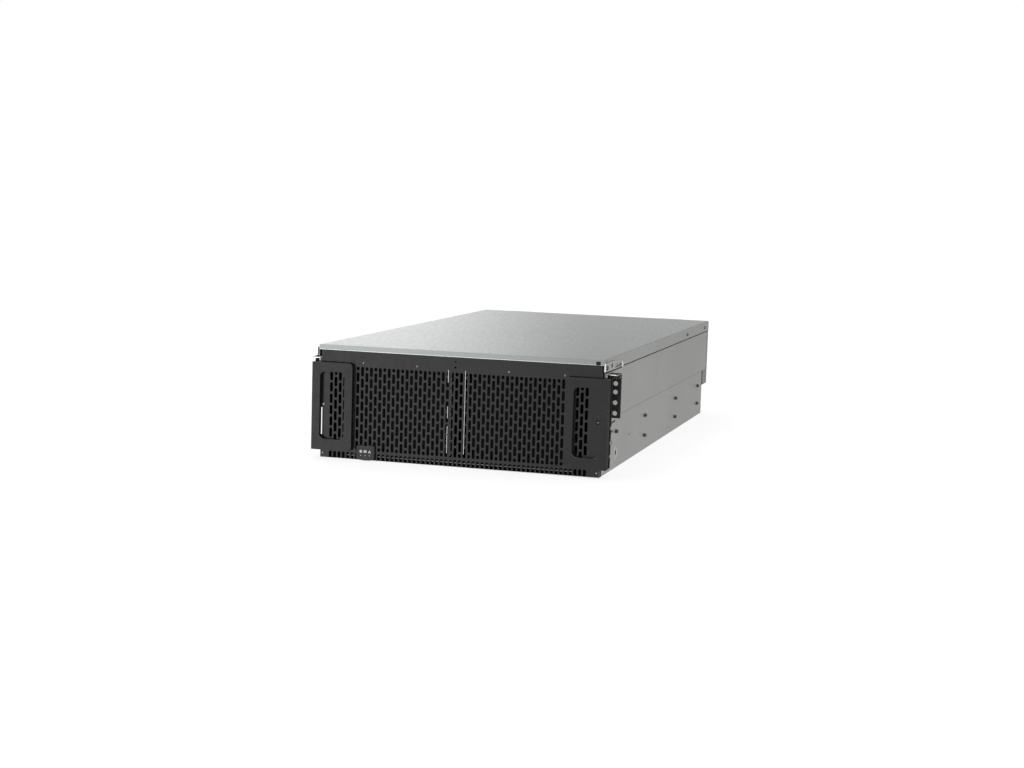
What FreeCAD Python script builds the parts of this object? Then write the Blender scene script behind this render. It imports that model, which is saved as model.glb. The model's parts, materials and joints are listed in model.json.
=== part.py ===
"""Disk shelf enclosure: a 4U rack chassis for sixty upright disk drives under a hinged lid.

Axes: +X to the right seen from the front, +Y to the back, +Z up. The origin is under the
middle of the enclosure, at the foot. Places along Y are measured from the face of the front
grille and are moved into the part's frame by front_plane.
"""
import FreeCAD, Part
import os
import re

import Sketcher

Vector = FreeCAD.Vector

# alias, value in millimetres (angles in degrees, counts as numbers), what it is
DRIVING_SIZES = [
    ("front_plane", -435.5, "Y of the front grille's face in the part's frame"),
    ("body_width", 440.0, "across the upper side walls and the front grille"),
    ("body_height", 175.0, "floor to lid"),
    ("lid_width", 448.0, "across the lid's side flanges"),
    ("guard_end", 879.0, "rear end of the dark guards behind the side walls"),
    ("ear_width", 482.6, "standard 19 in panel width"),
    ("ear_pitch", 465.1, "standard distance between the ears' hole columns"),
    ("sheet_metal", 1.2, "thickness of the chassis sheet"),
    ("wall_start", 14.0, "where the side walls take over from the grille's returns"),
    ("wall_step", 82.0, "height at which the upper wall laps over the base pan"),
    ("wall_lap", 10.0, "height of that lap"),
    ("wall_flange", 12.0, "width of the side walls' top flange"),
    ("wall_top", 173.4, "top of the side walls, under the lid"),
    ("pan_end", 837.0, "rear end of the base pan"),
    ("wall_end", 862.0, "rear end of the upper side walls"),
    ("guard_low", 54.0, "lower edge of the rear guards"),
    ("guard_high", 160.0, "upper edge of the rear guards"),
    ("lid_flange", 17.5, "depth of the lid's side flanges"),
    ("lid_front", -2.0, "front face of the lid's lip"),
    ("lid_lip", 8.5, "depth of the lid's front lip"),
    ("lid_hem", 2.6, "height of the rolled hem along the lip's lower edge"),
    ("lid_end", 857.8, "rear edge of the lid's sheet"),
    ("lid_bend", 2.4, "outer bend radius of the lid"),
    ("grille_top", 166.2, "top edge of the front grille"),
    ("grille_sheet", 1.5, "thickness of the front grille"),
    ("slot_pitch", 7.17, "distance between columns of slots"),
    ("slot_width", 4.7, "width of a slot"),
    ("slot_height", 14.5, "height of a slot"),
    ("slot_rise", 17.5, "distance between slots in a column"),
    ("slot_rows", 7, "whole slots in a column"),
    ("slot_low", 15.3, "lower end of the slotted field"),
    ("slot_high", 143.4, "upper end of the slotted field"),
    ("slot_bar", 3.0, "bar between two slots"),
    ("gap_depth", 2.2, "depth of the gap in each side edge of the grille"),
    ("gap_low", 36.0, "lower end of that gap"),
    ("gap_high", 78.0, "upper end of that gap"),
    ("even_columns", 29, "columns that start with a whole slot"),
    ("odd_columns", 28, "columns that start with a short slot"),
    ("comb_height", 11.6, "top of the comb of notches along the floor"),
    ("middle_hole", 1.6, "half width of the two holes above the slots"),
    ("middle_hole_drop", 6.2, "upper one of those holes, distance below the grille's top"),
    ("middle_hole_rise", 9.0, "distance between them"),
    ("handle_reach", 8.0, "how far the handles stand out of the grille"),
    ("handle_outer", 232.2, "handle's outboard edge"),
    ("handle_inner", 167.0, "handle's inboard edge"),
    ("handle_low", 13.5, "handle's lower edge"),
    ("handle_high", 148.3, "handle's upper edge"),
    ("grip_outer", 219.4, "outboard edge of the grip opening"),
    ("grip_inner", 179.4, "inboard edge of the grip opening"),
    ("grip_low", 30.0, "lower edge of the grip opening"),
    ("grip_high", 134.0, "upper edge of the grip opening"),
    ("handle_skin", 2.0, "wall of the handle shell"),
    ("ear_front", 34.0, "front face of the rack ears"),
    ("ear_sheet", 2.0, "thickness of the rack ears"),
    ("ear_low", 86.5, "lower edge of the rack ears"),
    ("ear_high", 145.0, "upper edge of the rack ears"),
    ("ear_first_hole", 93.65, "height of the lowest ear hole"),
    ("ear_hole_radius", 3.5, "clearance hole for an M6 rack screw"),
    ("bracket_web", 225.0, "inner face of the ear bracket's web"),
    ("bracket_top", 153.6, "top face of the ear bracket"),
    ("rail_low", 23.5, "height of the lower row of rail holes"),
    ("rail_rise", 33.0, "distance between the two rows of rail holes"),
    ("rail_hole_radius", 2.75, "clearance hole for an M5 rail screw"),
    ("drive_width", 26.1, "3.5 in drive, thickness"),
    ("drive_depth", 101.6, "3.5 in drive, width"),
    ("drive_height", 147.0, "3.5 in drive, length"),
    ("drive_pitch", 27.1, "distance between drives in a row"),
    ("drive_foot", 10.0, "lower end of the drives"),
    ("channel_half", 13.35, "half width of the middle air channel"),
    ("channel_wall", 0.8, "thickness of the channel's walls"),
    ("channel_flange", 2.6, "width of their front flanges"),
    ("tray_side", 177.2, "inner face of the drive tray's sides"),
    ("tray_floor", 6.6, "underside of the drive tray"),
    ("tray_end", 568.0, "rear end of the drive tray"),
    ("row_pitch", 106.4, "distance between drive rows of one zone"),
    ("front_row", 16.0, "front face of the first drive row"),
    ("rear_row", 250.0, "front face of the third drive row"),
    ("midplane_front", 572.0, "front face of the midplane board"),
    ("board_sheet", 2.4, "thickness of the circuit boards"),
    ("header_back", 858.0, "rear face of the header under the lid hinge"),
    ("header_low", 154.0, "lower edge of that header"),
    ("shelf_height", 56.0, "underside of the shelf under the fans"),
    ("bay_front", 588.0, "front face of the lower rear modules"),
    ("bay_pitch", 111.0, "distance between the middle bays' dividers"),
    ("module_gap", 0.6, "running gap round a plug-in module"),
    ("fan_pitch", 108.4, "distance between fan modules"),
    ("fan_front", 790.0, "front face of the fan modules"),
    ("fan_rear", 870.0, "rear face of the fan modules"),
    ("fan_top", 152.0, "top of the fan modules"),
    ("fan_bore", 42.5, "radius of the air opening"),
    ("fan_offset", 6.0, "how far the air opening sits left of the module's middle"),
    ("rotor_tip", 40.0, "reach of the fan blades"),
    ("rotor_hub", 17.0, "radius of the fan hub"),
    ("rotor_front", 826.0, "front face of the rotor"),
    ("rotor_depth", 30.0, "depth of the rotor"),
    ("blade_pitch", 38.0, "angle between a blade and the fan's axis"),
    ("blade_chord", 24.0, "width of a blade"),
    ("blade_sheet", 1.6, "thickness of a blade"),
    ("hinge_back", 861.0, "lid hinge axis, distance from the grille"),
    ("hinge_height", 172.4, "lid hinge axis, height"),
    ("hinge_span", 150.0, "distance of each hinge from the middle"),
    ("knuckle_frame", 20.0, "length of the frame's hinge barrel"),
    ("knuckle_lid", 11.6, "length of each of the lid's two hinge barrels"),
    ("knuckle_gap", 0.4, "gap between barrels"),
    ("barrel_radius", 2.6, "outer radius of the hinge barrels"),
    ("pin_radius", 1.2, "radius of the hinge pins"),
    ("latch_back", 1.0, "lid latch pivot, distance from the grille"),
    ("latch_height", 164.0, "lid latch pivot, height"),
    ("latch_length", 104.0, "length of the lid latch behind its pivot"),
    ("latch_sheet", 2.0, "thickness of the lid latch"),
    ("latch_pivot", 2.2, "radius of the latch's pivot"),
]

DRIVES_PER_SIDE = 6
REAR_ROWS = 3
FAN_COUNT = 4
BLADE_COUNT = 7
EAR_HOLE_STEPS = (0.0, 15.875, 31.75, 44.45)
RAIL_HOLE_ENDS = (109.0, 791.0)
RAIL_HOLES_BETWEEN = (319.0, 577.0)
SIDES = (("left", -1), ("right", 1))

doc = FreeCAD.newDocument("DiskShelf")
sheet = doc.addObject("Spreadsheet::Sheet", "Sizes")
for row, (alias, size, note) in enumerate(DRIVING_SIZES, start=1):
    sheet.set("A%d" % row, alias)
    sheet.set("B%d" % row, str(size))
    sheet.set("C%d" % row, note)
    sheet.setAlias("B%d" % row, alias)
sheet.recompute()

reader = doc.addObject("App::FeaturePython", "Reader")
reader.addProperty("App::PropertyFloat", "Reading")

subparts = []


# ---------------------------------------------------------------- helpers

def link(text):
    """Turn an expression in the sheet's aliases into one that FreeCAD can bind."""
    return re.sub(r"\b[a-z]+(?:_[a-z]+)+\b", r"Sizes.\g<0>", str(text))


def number(text):
    """Read an expression of the sheet as a plain number."""
    reader.setExpression("Reading", link(text))
    reader.recompute()
    return reader.Reading


def span(side, low, high):
    """The X range between two distances from the middle, on the given side."""
    if side > 0:
        return low, high
    return "-(%s)" % high, "-(%s)" % low


def keep(piece, label):
    """Register a finished sub-part under the name of its file."""
    piece.Label = label
    subparts.append(piece)
    return piece


def block(name, across, back, up):
    """A box between three pairs of expressions; back is measured from the grille."""
    box = doc.addObject("Part::Box", name)
    back = ["front_plane + (%s)" % text for text in back]
    for size, axis, (low, high) in zip(("Length", "Width", "Height"), "xyz", (across, back, up)):
        box.setExpression(size, link("(%s) - (%s)" % (high, low)))
        box.setExpression("Placement.Base." + axis, link(low))
    return box


TURNS = {
    "x": FreeCAD.Rotation(Vector(0, 1, 0), 90),
    "y": FreeCAD.Rotation(Vector(1, 0, 0), -90),
    "z": FreeCAD.Rotation(),
}


def rod(name, axis, place, radius, length, corners=0):
    """A cylinder, or a prism with the given corners, that starts at place and runs along axis."""
    if corners:
        piece = doc.addObject("Part::Prism", name)
        piece.Polygon = corners
        piece.setExpression("Circumradius", link(radius))
    else:
        piece = doc.addObject("Part::Cylinder", name)
        piece.setExpression("Radius", link(radius))
    piece.setExpression("Height", link(length))
    piece.Placement = FreeCAD.Placement(Vector(), TURNS[axis])
    across, back, up = place
    piece.setExpression("Placement.Base.x", link(across))
    piece.setExpression("Placement.Base.y", link("front_plane + (%s)" % back))
    piece.setExpression("Placement.Base.z", link(up))
    return piece


def join(name, pieces):
    """Fuse pieces into one solid."""
    fused = doc.addObject("Part::MultiFuse", name)
    fused.Shapes = pieces
    fused.Refine = True
    return fused


def group(name, pieces):
    """Keep pieces together as separate solids of one sub-part."""
    compound = doc.addObject("Part::Compound", name)
    compound.Links = pieces
    return compound


def cut(name, base, tools):
    """Cut tools out of a base."""
    result = doc.addObject("Part::Cut", name)
    result.Base = base
    result.Tool = tools[0] if len(tools) == 1 else group(name + "_tools", tools)
    result.Refine = True
    return result


def new_body(name):
    """A PartDesign body whose Y is measured from the grille's face."""
    body = doc.addObject("PartDesign::Body", name)
    body.setExpression("Placement.Base.y", link("front_plane"))
    return body


def origin_feature(body, role):
    """One of the body's own origin planes or axes."""
    return next(item for item in body.Origin.OriginFeatures if item.Role == role)


def new_sketch(body, name, plane, offset="0"):
    """A sketch on one of the body's origin planes, moved along X, Y or Z by offset."""
    sketch = body.newObject("Sketcher::SketchObject", name)
    sketch.AttachmentSupport = (origin_feature(body, plane), [""])
    sketch.MapMode = "FlatFace"
    sign = "-" if plane == "XZ_Plane" else ""
    sketch.setExpression("AttachmentOffset.Base.z", link("%s(%s)" % (sign, offset)))
    return sketch


def fix_point(sketch, edge, point, across, up):
    """Bind a point of the sketch to a pair of expressions."""
    for kind, axis, text in (("DistanceX", -2, across), ("DistanceY", -1, up)):
        distance = number(text)
        if abs(distance) < 1e-9:
            sketch.addConstraint(Sketcher.Constraint("PointOnObject", edge, point, axis))
            continue
        place = Sketcher.Constraint(kind, -1, 1, edge, point, distance)
        index = sketch.addConstraint(place)
        sketch.setExpression("Constraints[%d]" % index, link(text))


def outline(sketch, corners):
    """Draw a closed outline through corners, each bound to a pair of expressions."""
    first = sketch.GeometryCount
    points = [Vector(number(across), number(up), 0) for across, up in corners]
    for start, end in zip(points, points[1:] + points[:1]):
        sketch.addGeometry(Part.LineSegment(start, end))
    for step, (across, up) in enumerate(corners):
        following = first + (step + 1) % len(corners)
        sketch.addConstraint(Sketcher.Constraint("Coincident", first + step, 2, following, 1))
        fix_point(sketch, first + step, 1, across, up)


def rectangle(sketch, across, up):
    """Draw a rectangle between two pairs of expressions."""
    (left, right), (low, high) = across, up
    outline(sketch, [(left, low), (right, low), (right, high), (left, high)])


def circle(sketch, across, up, radius):
    """Draw a circle bound to the sheet."""
    centre = Vector(number(across), number(up), 0)
    edge = sketch.addGeometry(Part.Circle(centre, Vector(0, 0, 1), number(radius)))
    fix_point(sketch, edge, 3, across, up)
    index = sketch.addConstraint(Sketcher.Constraint("Radius", edge, number(radius)))
    sketch.setExpression("Constraints[%d]" % index, link(radius))


def pad(body, sketch, length, backwards=False):
    """Pad a sketch; backwards runs against the sketch plane's normal."""
    feature = body.newObject("PartDesign::Pad", sketch.Name + "_pad")
    feature.Profile = sketch
    feature.Reversed = backwards
    feature.setExpression("Length", link(length))
    sketch.Visibility = False
    return feature


def pocket_through(body, sketch):
    """Cut a sketch through the whole body, both ways."""
    feature = body.newObject("PartDesign::Pocket", sketch.Name + "_cut")
    feature.Profile = sketch
    feature.Type = "ThroughAll"
    feature.Midplane = True
    return feature


def pocket(body, sketch, length, backwards=False):
    """Cut a sketch into the body by length."""
    feature = body.newObject("PartDesign::Pocket", sketch.Name + "_cut")
    feature.Profile = sketch
    feature.Reversed = backwards
    feature.setExpression("Length", link(length))
    return feature


def edges_where(feature, test):
    """Names of the feature's straight edges whose two ends pass a test."""
    names = []
    for place, edge in enumerate(feature.Shape.Edges, start=1):
        ends = [vertex.Point for vertex in edge.Vertexes]
        if len(ends) == 2 and test(ends[0], ends[1]):
            names.append("Edge%d" % place)
    return names


def dress(body, kind, name, feature, test, size_name, size):
    """Fillet or chamfer the edges of a feature that pass a test."""
    doc.recompute()
    dressed = body.newObject("PartDesign::" + kind, name)
    dressed.Base = (feature, edges_where(feature, test))
    dressed.setExpression(size_name, link(size))
    return dressed


# ---------------------------------------------------------------- chassis

def base_pan():
    """Folded floor and lower side walls, with the rail screw holes.

    The four holes of each side that carry the rail are round; the ones between them stay
    eight-sided.
    """
    body = new_body("pan_sheet")
    outer = "body_width / 2 - sheet_metal"
    inner = "body_width / 2 - 2 * sheet_metal"
    top = "wall_step + wall_lap"
    profile = new_sketch(body, "pan_profile", "XZ_Plane", "wall_start")
    outline(profile, [
        ("-(%s)" % outer, "0"), (outer, "0"), (outer, top), (inner, top), (inner, "sheet_metal"),
        ("-(%s)" % inner, "sheet_metal"), ("-(%s)" % inner, top), ("-(%s)" % outer, top)])
    pad(body, profile, "pan_end - wall_start", backwards=True)
    tongue = new_sketch(body, "pan_tongue", "XZ_Plane", "0.3")
    rectangle(tongue, ("-(%s)" % outer, outer), ("0", "sheet_metal"))
    pad(body, tongue, "wall_start - 0.3", backwards=True)
    holes = new_sketch(body, "rail_holes", "YZ_Plane")
    for place in RAIL_HOLE_ENDS:
        circle(holes, str(place), "rail_low", "rail_hole_radius")
        circle(holes, str(place), "rail_low + rail_rise", "rail_hole_radius")
    pocket_through(body, holes)
    between = [rod("rail_hole_%d_%s" % (place, part), "x", ("-body_width / 2", str(place), up),
                   "rail_hole_radius", "body_width", 8)
               for place in RAIL_HOLES_BETWEEN
               for part, up in (("low", "rail_low"), ("high", "rail_low + rail_rise"))]
    keep(cut("base_pan", body, between), "base_pan")


def upper_side(name, side):
    """Upper side wall with its top flange, lapped over the base pan."""
    body = new_body("upper_side_" + name)
    sign = "" if side > 0 else "-"
    outer = "%s(body_width / 2)" % sign
    inner = "%s(body_width / 2 - sheet_metal)" % sign
    flange = "%s(body_width / 2 - wall_flange)" % sign
    profile = new_sketch(body, "wall_profile_" + name, "XZ_Plane", "wall_start")
    outline(profile, [
        (outer, "wall_step"), (outer, "wall_top"), (flange, "wall_top"),
        (flange, "wall_top - sheet_metal"), (inner, "wall_top - sheet_metal"), (inner, "wall_step")])
    pad(body, profile, "wall_end - wall_start", backwards=True)
    keep(body, "upper_side_" + name)


def slot_fields():
    """Centres of the first columns and the (low, high) runs of one column, for both kinds."""
    rise = number("slot_rise")
    height = number("slot_height")
    low, high, bar = number("slot_low"), number("slot_high"), number("slot_bar")
    rows = range(int(number("slot_rows")))
    even = [(low + rise * row, low + rise * row + height) for row in rows]
    even.append((even[-1][1] + bar, high))
    odd = [(high - height - rise * row, high - rise * row) for row in rows]
    odd.append((low, odd[-1][0] - bar))
    return even, odd


def loop(points):
    """A closed wire through points of the grille's front plane."""
    corners = [Vector(across, 0, up) for across, up in points]
    return Part.makePolygon(corners + corners[:1])


def slotted_sheet():
    """The grille's flat sheet: comb notches in its lower edge, edge gaps and staggered slots."""
    half, foot, top = number("body_width / 2"), number("sheet_metal"), number("grille_top")
    pitch, narrow = number("slot_pitch"), number("slot_width / 2")
    count = int(number("even_columns + odd_columns"))
    columns = [pitch * (place - (count - 1) / 2) for place in range(count)]
    comb = number("comb_height")
    edge = [(-half, foot)]
    for middle in columns:
        left, right = middle - narrow, middle + narrow
        edge += [(left, foot), (left, comb), (right, comb), (right, foot)]
    gap_depth, gap_low, gap_high = number("gap_depth"), number("gap_low"), number("gap_high")
    for side in (1, -1):
        steps = [(half, foot), (half, gap_low), (half - gap_depth, gap_low),
                 (half - gap_depth, gap_high), (half, gap_high), (half, top)]
        if side > 0:
            edge += steps
        else:
            edge += [(-across, up) for across, up in reversed(steps)][:-1]
    wires = [loop(edge)]
    for place, middle in enumerate(columns):
        for low, high in slot_fields()[place % 2]:
            left, right = middle - narrow, middle + narrow
            wires.append(loop([(left, low), (right, low), (right, high), (left, high)]))
    reach = number("middle_hole")
    for drop in ("middle_hole_drop", "middle_hole_drop + middle_hole_rise"):
        height = top - number(drop)
        wires.append(loop([(-reach, height - reach), (reach, height - reach),
                           (reach, height + reach), (-reach, height + reach)]))
    face = Part.makeFace(wires, "Part::FaceMakerBullseye")
    return face.extrude(Vector(0, number("grille_sheet"), 0))


def front_grille():
    """Front panel: the slotted sheet with a return along each side."""
    sheet_part = doc.addObject("Part::Feature", "grille_sheet_metal")
    sheet_part.Shape = slotted_sheet()
    sheet_part.Placement.Base.y = number("front_plane")
    pieces = [sheet_part]
    for name, side in SIDES:
        across = span(side, "body_width / 2 - grille_sheet", "body_width / 2")
        for part, up in (("low", ("sheet_metal", "gap_low")), ("high", ("gap_high", "grille_top"))):
            depth = ("grille_sheet", "wall_start")
            pieces.append(block("return_%s_%s" % (part, name), across, depth, up))
    keep(join("front_grille", pieces), "front_grille")


def front_furniture():
    """Status panel with its light windows, and the screws of the front."""
    panel = new_body("status_panel")
    face = new_sketch(panel, "panel_face", "XZ_Plane")
    outline(face, [("-160", "4"), ("-154", "1.6"), ("-145", "0.6"), ("-136", "1.6"), ("-130", "4"),
                   ("-130", "23.3"), ("-160", "23.3")])
    plate = pad(panel, face, "4")
    dress(panel, "Chamfer", "panel_edge", plate,
          lambda start, end: max(start.y, end.y) < -3.9, "Size", "0.8")
    keep(panel, "status_panel")
    windows = [block("window_%d" % place, ("%d - 1.5" % place, "%d + 1.5" % place),
                     ("-4.5", "-4"), ("11", "14")) for place in (-152, -145, -138)]
    keep(group("status_lights", windows), "status_lights")
    heads = [rod("face_screw_%d" % place, "y", (str(place), "-1.2", "149.3"), "1.7", "1.2", 6)
             for place in (-152, -66, 78, 164)]
    for name, side in SIDES:
        edge = "%d" % (side * 216)
        heads.append(rod("grip_screw_" + name, "y", (edge, "-1.6", "83"), "2.4", "1.6", 8))
        heads.append(rod("corner_screw_" + name, "y", (edge, "-1.2", "8"), "1.7", "1.2", 6))
    keep(group("front_screws", heads), "front_screws")


def handle(name, side):
    """Carrying handle: a shell frame round a grip opening, proud of the grille."""
    body = new_body("handle_" + name)
    frame = new_sketch(body, "frame_" + name, "XZ_Plane")
    rectangle(frame, span(side, "handle_inner", "handle_outer"), ("handle_low", "handle_high"))
    rim = pad(body, frame, "handle_reach")
    inboard = side * number("handle_inner")
    dress(body, "Fillet", "corners_" + name, rim,
          lambda a, b: abs(a.x - inboard) < 0.1 and abs(b.x - inboard) < 0.1
          and abs(a.z - b.z) < 0.1, "Radius", "7")
    skirt = new_sketch(body, "skirt_" + name, "XZ_Plane")
    rectangle(skirt, span(side, "handle_outer - handle_skin", "handle_outer"),
              ("handle_low", "handle_high"))
    pad(body, skirt, "5", backwards=True)
    hollow = new_sketch(body, "hollow_" + name, "XZ_Plane")
    rectangle(hollow, span(side, "grip_outer + handle_skin", "handle_outer - handle_skin"),
              ("handle_low + handle_skin", "handle_high - handle_skin"))
    pocket(body, hollow, "handle_reach - handle_skin")
    grip = new_sketch(body, "grip_" + name, "XZ_Plane")
    rectangle(grip, span(side, "grip_inner", "grip_outer"), ("grip_low", "grip_high"))
    opening = pocket_through(body, grip)
    inner, outer = number("grip_inner"), number("grip_outer")
    dress(body, "Fillet", "grip_corners_" + name, opening,
          lambda a, b: abs(a.y - b.y) > 1 and inner - 0.1 < abs(a.x) < outer + 0.1
          and number("grip_low") - 0.1 < a.z < number("grip_high") + 0.1
          and abs(a.x - b.x) < 0.1 and abs(a.z - b.z) < 0.1, "Radius", "8")
    keep(body, "handle_" + name)


def rack_ears():
    """Black rack ears with the standard hole columns, their silver brackets and top studs.

    The lowest and highest hole of each ear are round; the two between stay twelve-sided.
    """
    ears, brackets, studs = [], [], []
    for name, side in SIDES:
        half = "body_width / 2"
        edge = "ear_width / 2"
        plate = block("ear_plate_" + name, span(side, half, edge),
                      ("ear_front", "ear_front + ear_sheet"), ("ear_low", "ear_high"))
        flange = block("ear_side_" + name, span(side, half, half + " + ear_sheet"),
                       ("6", "ear_front"), ("ear_low", "ear_high"))
        lobe = block("ear_lobe_" + name, span(side, edge + " - 8", edge),
                     ("ear_front", "ear_front + ear_sheet"), ("ear_high", "bracket_top - 1.2"))
        holes = [rod("ear_hole_%s_%d" % (name, place), "y",
                     ("%d * ear_pitch / 2" % side, "ear_front - 1", "ear_first_hole + %s" % step),
                     "ear_hole_radius", "ear_sheet + 2", 12 if 0 < place < 3 else 0)
                 for place, step in enumerate(EAR_HOLE_STEPS)]
        ears.append(cut("ear_" + name, join("ear_blank_" + name, [plate, flange, lobe]), holes))
        web = block("bracket_web_" + name, span(side, "bracket_web", "bracket_web + sheet_metal"),
                    ("6", "ear_front"), ("ear_low", "bracket_top"))
        cover = block("bracket_cover_" + name, span(side, "bracket_web", "ear_width / 2"),
                      ("6", "ear_front + ear_sheet"), ("bracket_top - sheet_metal", "bracket_top"))
        brackets.append(join("bracket_" + name, [web, cover]))
        studs.append(rod("stud_" + name, "y", ("%d * (ear_width / 2 - 4)" % side, "ear_front - 5",
                                               "ear_high + 3.2"), "3.4", "5", 12))
    keep(group("rack_ears", ears), "rack_ears")
    keep(group("ear_brackets", brackets), "ear_brackets")
    keep(group("ear_studs", studs), "ear_studs")


def rail_stops():
    """Lanced hooks and the round button near the front of each lower side wall."""
    pieces = []
    for name, side in SIDES:
        face = "body_width / 2 - sheet_metal"
        proud = face + " + 1.6"
        pieces.append(block("hook_high_" + name, span(side, face, proud), ("78", "98"), ("70", "73")))
        pieces.append(block("hook_low_" + name, span(side, face, proud), ("74", "84"), ("56.5", "59")))
        pieces.append(rod("rail_screw_" + name, "x", ("%d * (%s) - %s" % (side, face, "0" if side > 0
                      else "1.4"), "86", "42.5"), "3", "1.4", 8))
    keep(group("rail_stops", pieces), "rail_stops")


# ---------------------------------------------------------------- drive zone

def drive_tray():
    """U-shaped tray between the side ducts, which carries the drive backplane."""
    body = new_body("drive_tray")
    inner = "tray_side"
    outer = "tray_side + 1"
    profile = new_sketch(body, "tray_profile", "XZ_Plane", "2")
    outline(profile, [
        ("-(%s)" % outer, "tray_floor"), (outer, "tray_floor"), (outer, "158"), (inner, "158"),
        (inner, "tray_floor + 1"), ("-(%s)" % inner, "tray_floor + 1"), ("-(%s)" % inner, "158"),
        ("-(%s)" % outer, "158")])
    pad(body, profile, "tray_end - 2", backwards=True)
    front = new_sketch(body, "tray_side_window", "YZ_Plane")
    rectangle(front, ("1", "front_row"), ("tray_floor + 1", "159"))
    pocket_through(body, front)
    keep(body, "drive_tray")


def row_starts():
    """Front faces of the five drive rows: two in the front zone, three in the rear zone."""
    front = ["front_row + %d * row_pitch" % place for place in range(2)]
    rear = ["rear_row + %d * row_pitch" % place for place in range(REAR_ROWS)]
    return front + rear


def drive_lefts():
    """Left faces of the twelve drives of a row, six on each side of the middle channel."""
    right = ["channel_half + %d * drive_pitch + 0.5" % place for place in range(DRIVES_PER_SIDE)]
    left = ["-(channel_half + %d * drive_pitch + 0.5 + drive_width)" % place
            for place in reversed(range(DRIVES_PER_SIDE))]
    return left + right


def drives():
    """Upright drives row by row, and the cap of the lift-out carrier on each drive."""
    top = "drive_foot + drive_height"
    carriers = {"front": [], "rear": []}
    for row, back in enumerate(row_starts(), start=1):
        solids = []
        zone = "front" if row <= 2 else "rear"
        for place, left in enumerate(drive_lefts()):
            tag = "%d_%d" % (row, place)
            right = left + " + drive_width"
            solids.append(block("drive_" + tag, (left, right), (back, back + " + drive_depth"),
                                ("drive_foot", top)))
            carriers[zone].append(block("carrier_" + tag, (left + " + 0.6", right + " - 0.6"),
                                        (back + " + 1.5", back + " + drive_depth - 1.5"),
                                        (top, top + " + 6")))
        keep(group("drive_row_%d" % row, solids), "drive_row_%d" % row)
    for zone, caps in carriers.items():
        keep(group("drive_carriers_" + zone, caps), "drive_carriers_" + zone)


def drive_zone_frame():
    """Backplane, channel walls, row partitions and the beams across the chassis."""
    boards = []
    board_up = ("tray_floor + 1", "tray_floor + 1 + board_sheet")
    for name, side in SIDES:
        boards.append(block("board_" + name, span(side, "channel_half + 0.5", "tray_side - 1"),
                            ("front_row", "tray_end - 4"), board_up))
    keep(group("drive_backplane", boards), "drive_backplane")
    walls = []
    for name, side in SIDES:
        up = ("tray_floor + 1", "158")
        inner = "channel_half - channel_wall"
        wall = block("channel_" + name, span(side, inner, "channel_half"), ("7", "tray_end - 4"), up)
        flange = block("channel_flange_" + name, span(side, inner, inner + " + channel_flange"),
                       ("7 - channel_wall", "7"), up)
        walls.append(join("channel_wall_" + name, [wall, flange]))
    keep(group("channel_walls", walls), "channel_walls")
    partitions = []
    for row, back in enumerate(row_starts(), start=1):
        for name, side in SIDES:
            partitions.append(block("partition_%d_%s" % (row, name),
                                    span(side, "channel_half + 0.5", "tray_side"),
                                    (back + " + drive_depth + 1.6", back + " + drive_depth + 2.8"),
                                    ("tray_floor + 1 + board_sheet", "150")))
    keep(group("row_partitions", partitions), "row_partitions")
    beams = (("front_beam", "grille_sheet", "13", "body_width / 2 - grille_sheet"),
             ("middle_beam", "228", "246", "body_width / 2 - sheet_metal"))
    for name, front, back, half in beams:
        across = ("-(%s)" % half, half)
        solid = block(name + "_blank", across, (front, back), ("161", "wall_top - sheet_metal"))
        trough = block(name + "_trough", across, (front + " + sheet_metal", back + " - sheet_metal"),
                       ("160", "wall_top - 2 * sheet_metal"))
        keep(cut(name, solid, [trough]), name)


# ---------------------------------------------------------------- rear structure

def rear_structure():
    """Midplane, shelf under the fans, bay dividers and the header that carries the lid hinge."""
    half = "(body_width / 2 - 2 * sheet_metal)"
    board_end = "midplane_front + board_sheet"
    board = block("midplane_board", ("1 - " + half, half + " - 1"), ("midplane_front", board_end),
                  ("sheet_metal", "shelf_height - 2"))
    plugs = [block("midplane_plug_%d" % bay, ("%s * bay_pitch - 24" % bay, "%s * bay_pitch + 24" % bay),
                   (board_end, board_end + " + 9.6"), ("14", "26")) for bay in (-1.5, -0.5, 0.5, 1.5)]
    keep(join("midplane", [board] + plugs), "midplane")
    shelf = block("shelf_plate", ("-" + half, half), ("midplane_front + 4", "pan_end"),
                  ("shelf_height", "shelf_height + sheet_metal"))
    keep(group("fan_shelf", [shelf]), "fan_shelf")
    dividers = []
    for place in (-1, 0, 1):
        middle = "%d * bay_pitch" % place
        dividers.append(block("divider_%d" % place, (middle + " - 0.5", middle + " + 0.5"),
                              ("bay_front - 2", "pan_end"), ("sheet_metal", "shelf_height")))
    keep(group("bay_dividers", dividers), "bay_dividers")
    wide = "(body_width / 2 - sheet_metal)"
    across = ("-" + wide, wide)
    header = block("header_blank", across, ("pan_end + 1", "header_back"),
                   ("header_low", "wall_top - sheet_metal"))
    trough = block("header_trough", across, ("pan_end", "header_back - sheet_metal"),
                   ("header_low + sheet_metal", "wall_top - 2 * sheet_metal"))
    keep(cut("rear_header", header, [trough]), "rear_header")


def rear_guards():
    """Dark plates that carry the side walls on past the rear panels."""
    guards = []
    for name, side in SIDES:
        face = "body_width / 2"
        foot = block("guard_foot_" + name, span(side, face + " - 2 * sheet_metal", face),
                     ("pan_end", "guard_end"), ("guard_low", "wall_step"))
        strip = block("guard_strip_" + name, span(side, face + " - sheet_metal", face),
                      ("wall_end", "guard_end"), ("wall_step", "guard_high"))
        guards.append(join("guard_" + name, [foot, strip]))
    keep(group("rear_guards", guards), "rear_guards")


FAN_FOOT = "shelf_height + sheet_metal + module_gap"
FAN_CENTRE = "((%s + fan_top) / 2)" % FAN_FOOT


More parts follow.
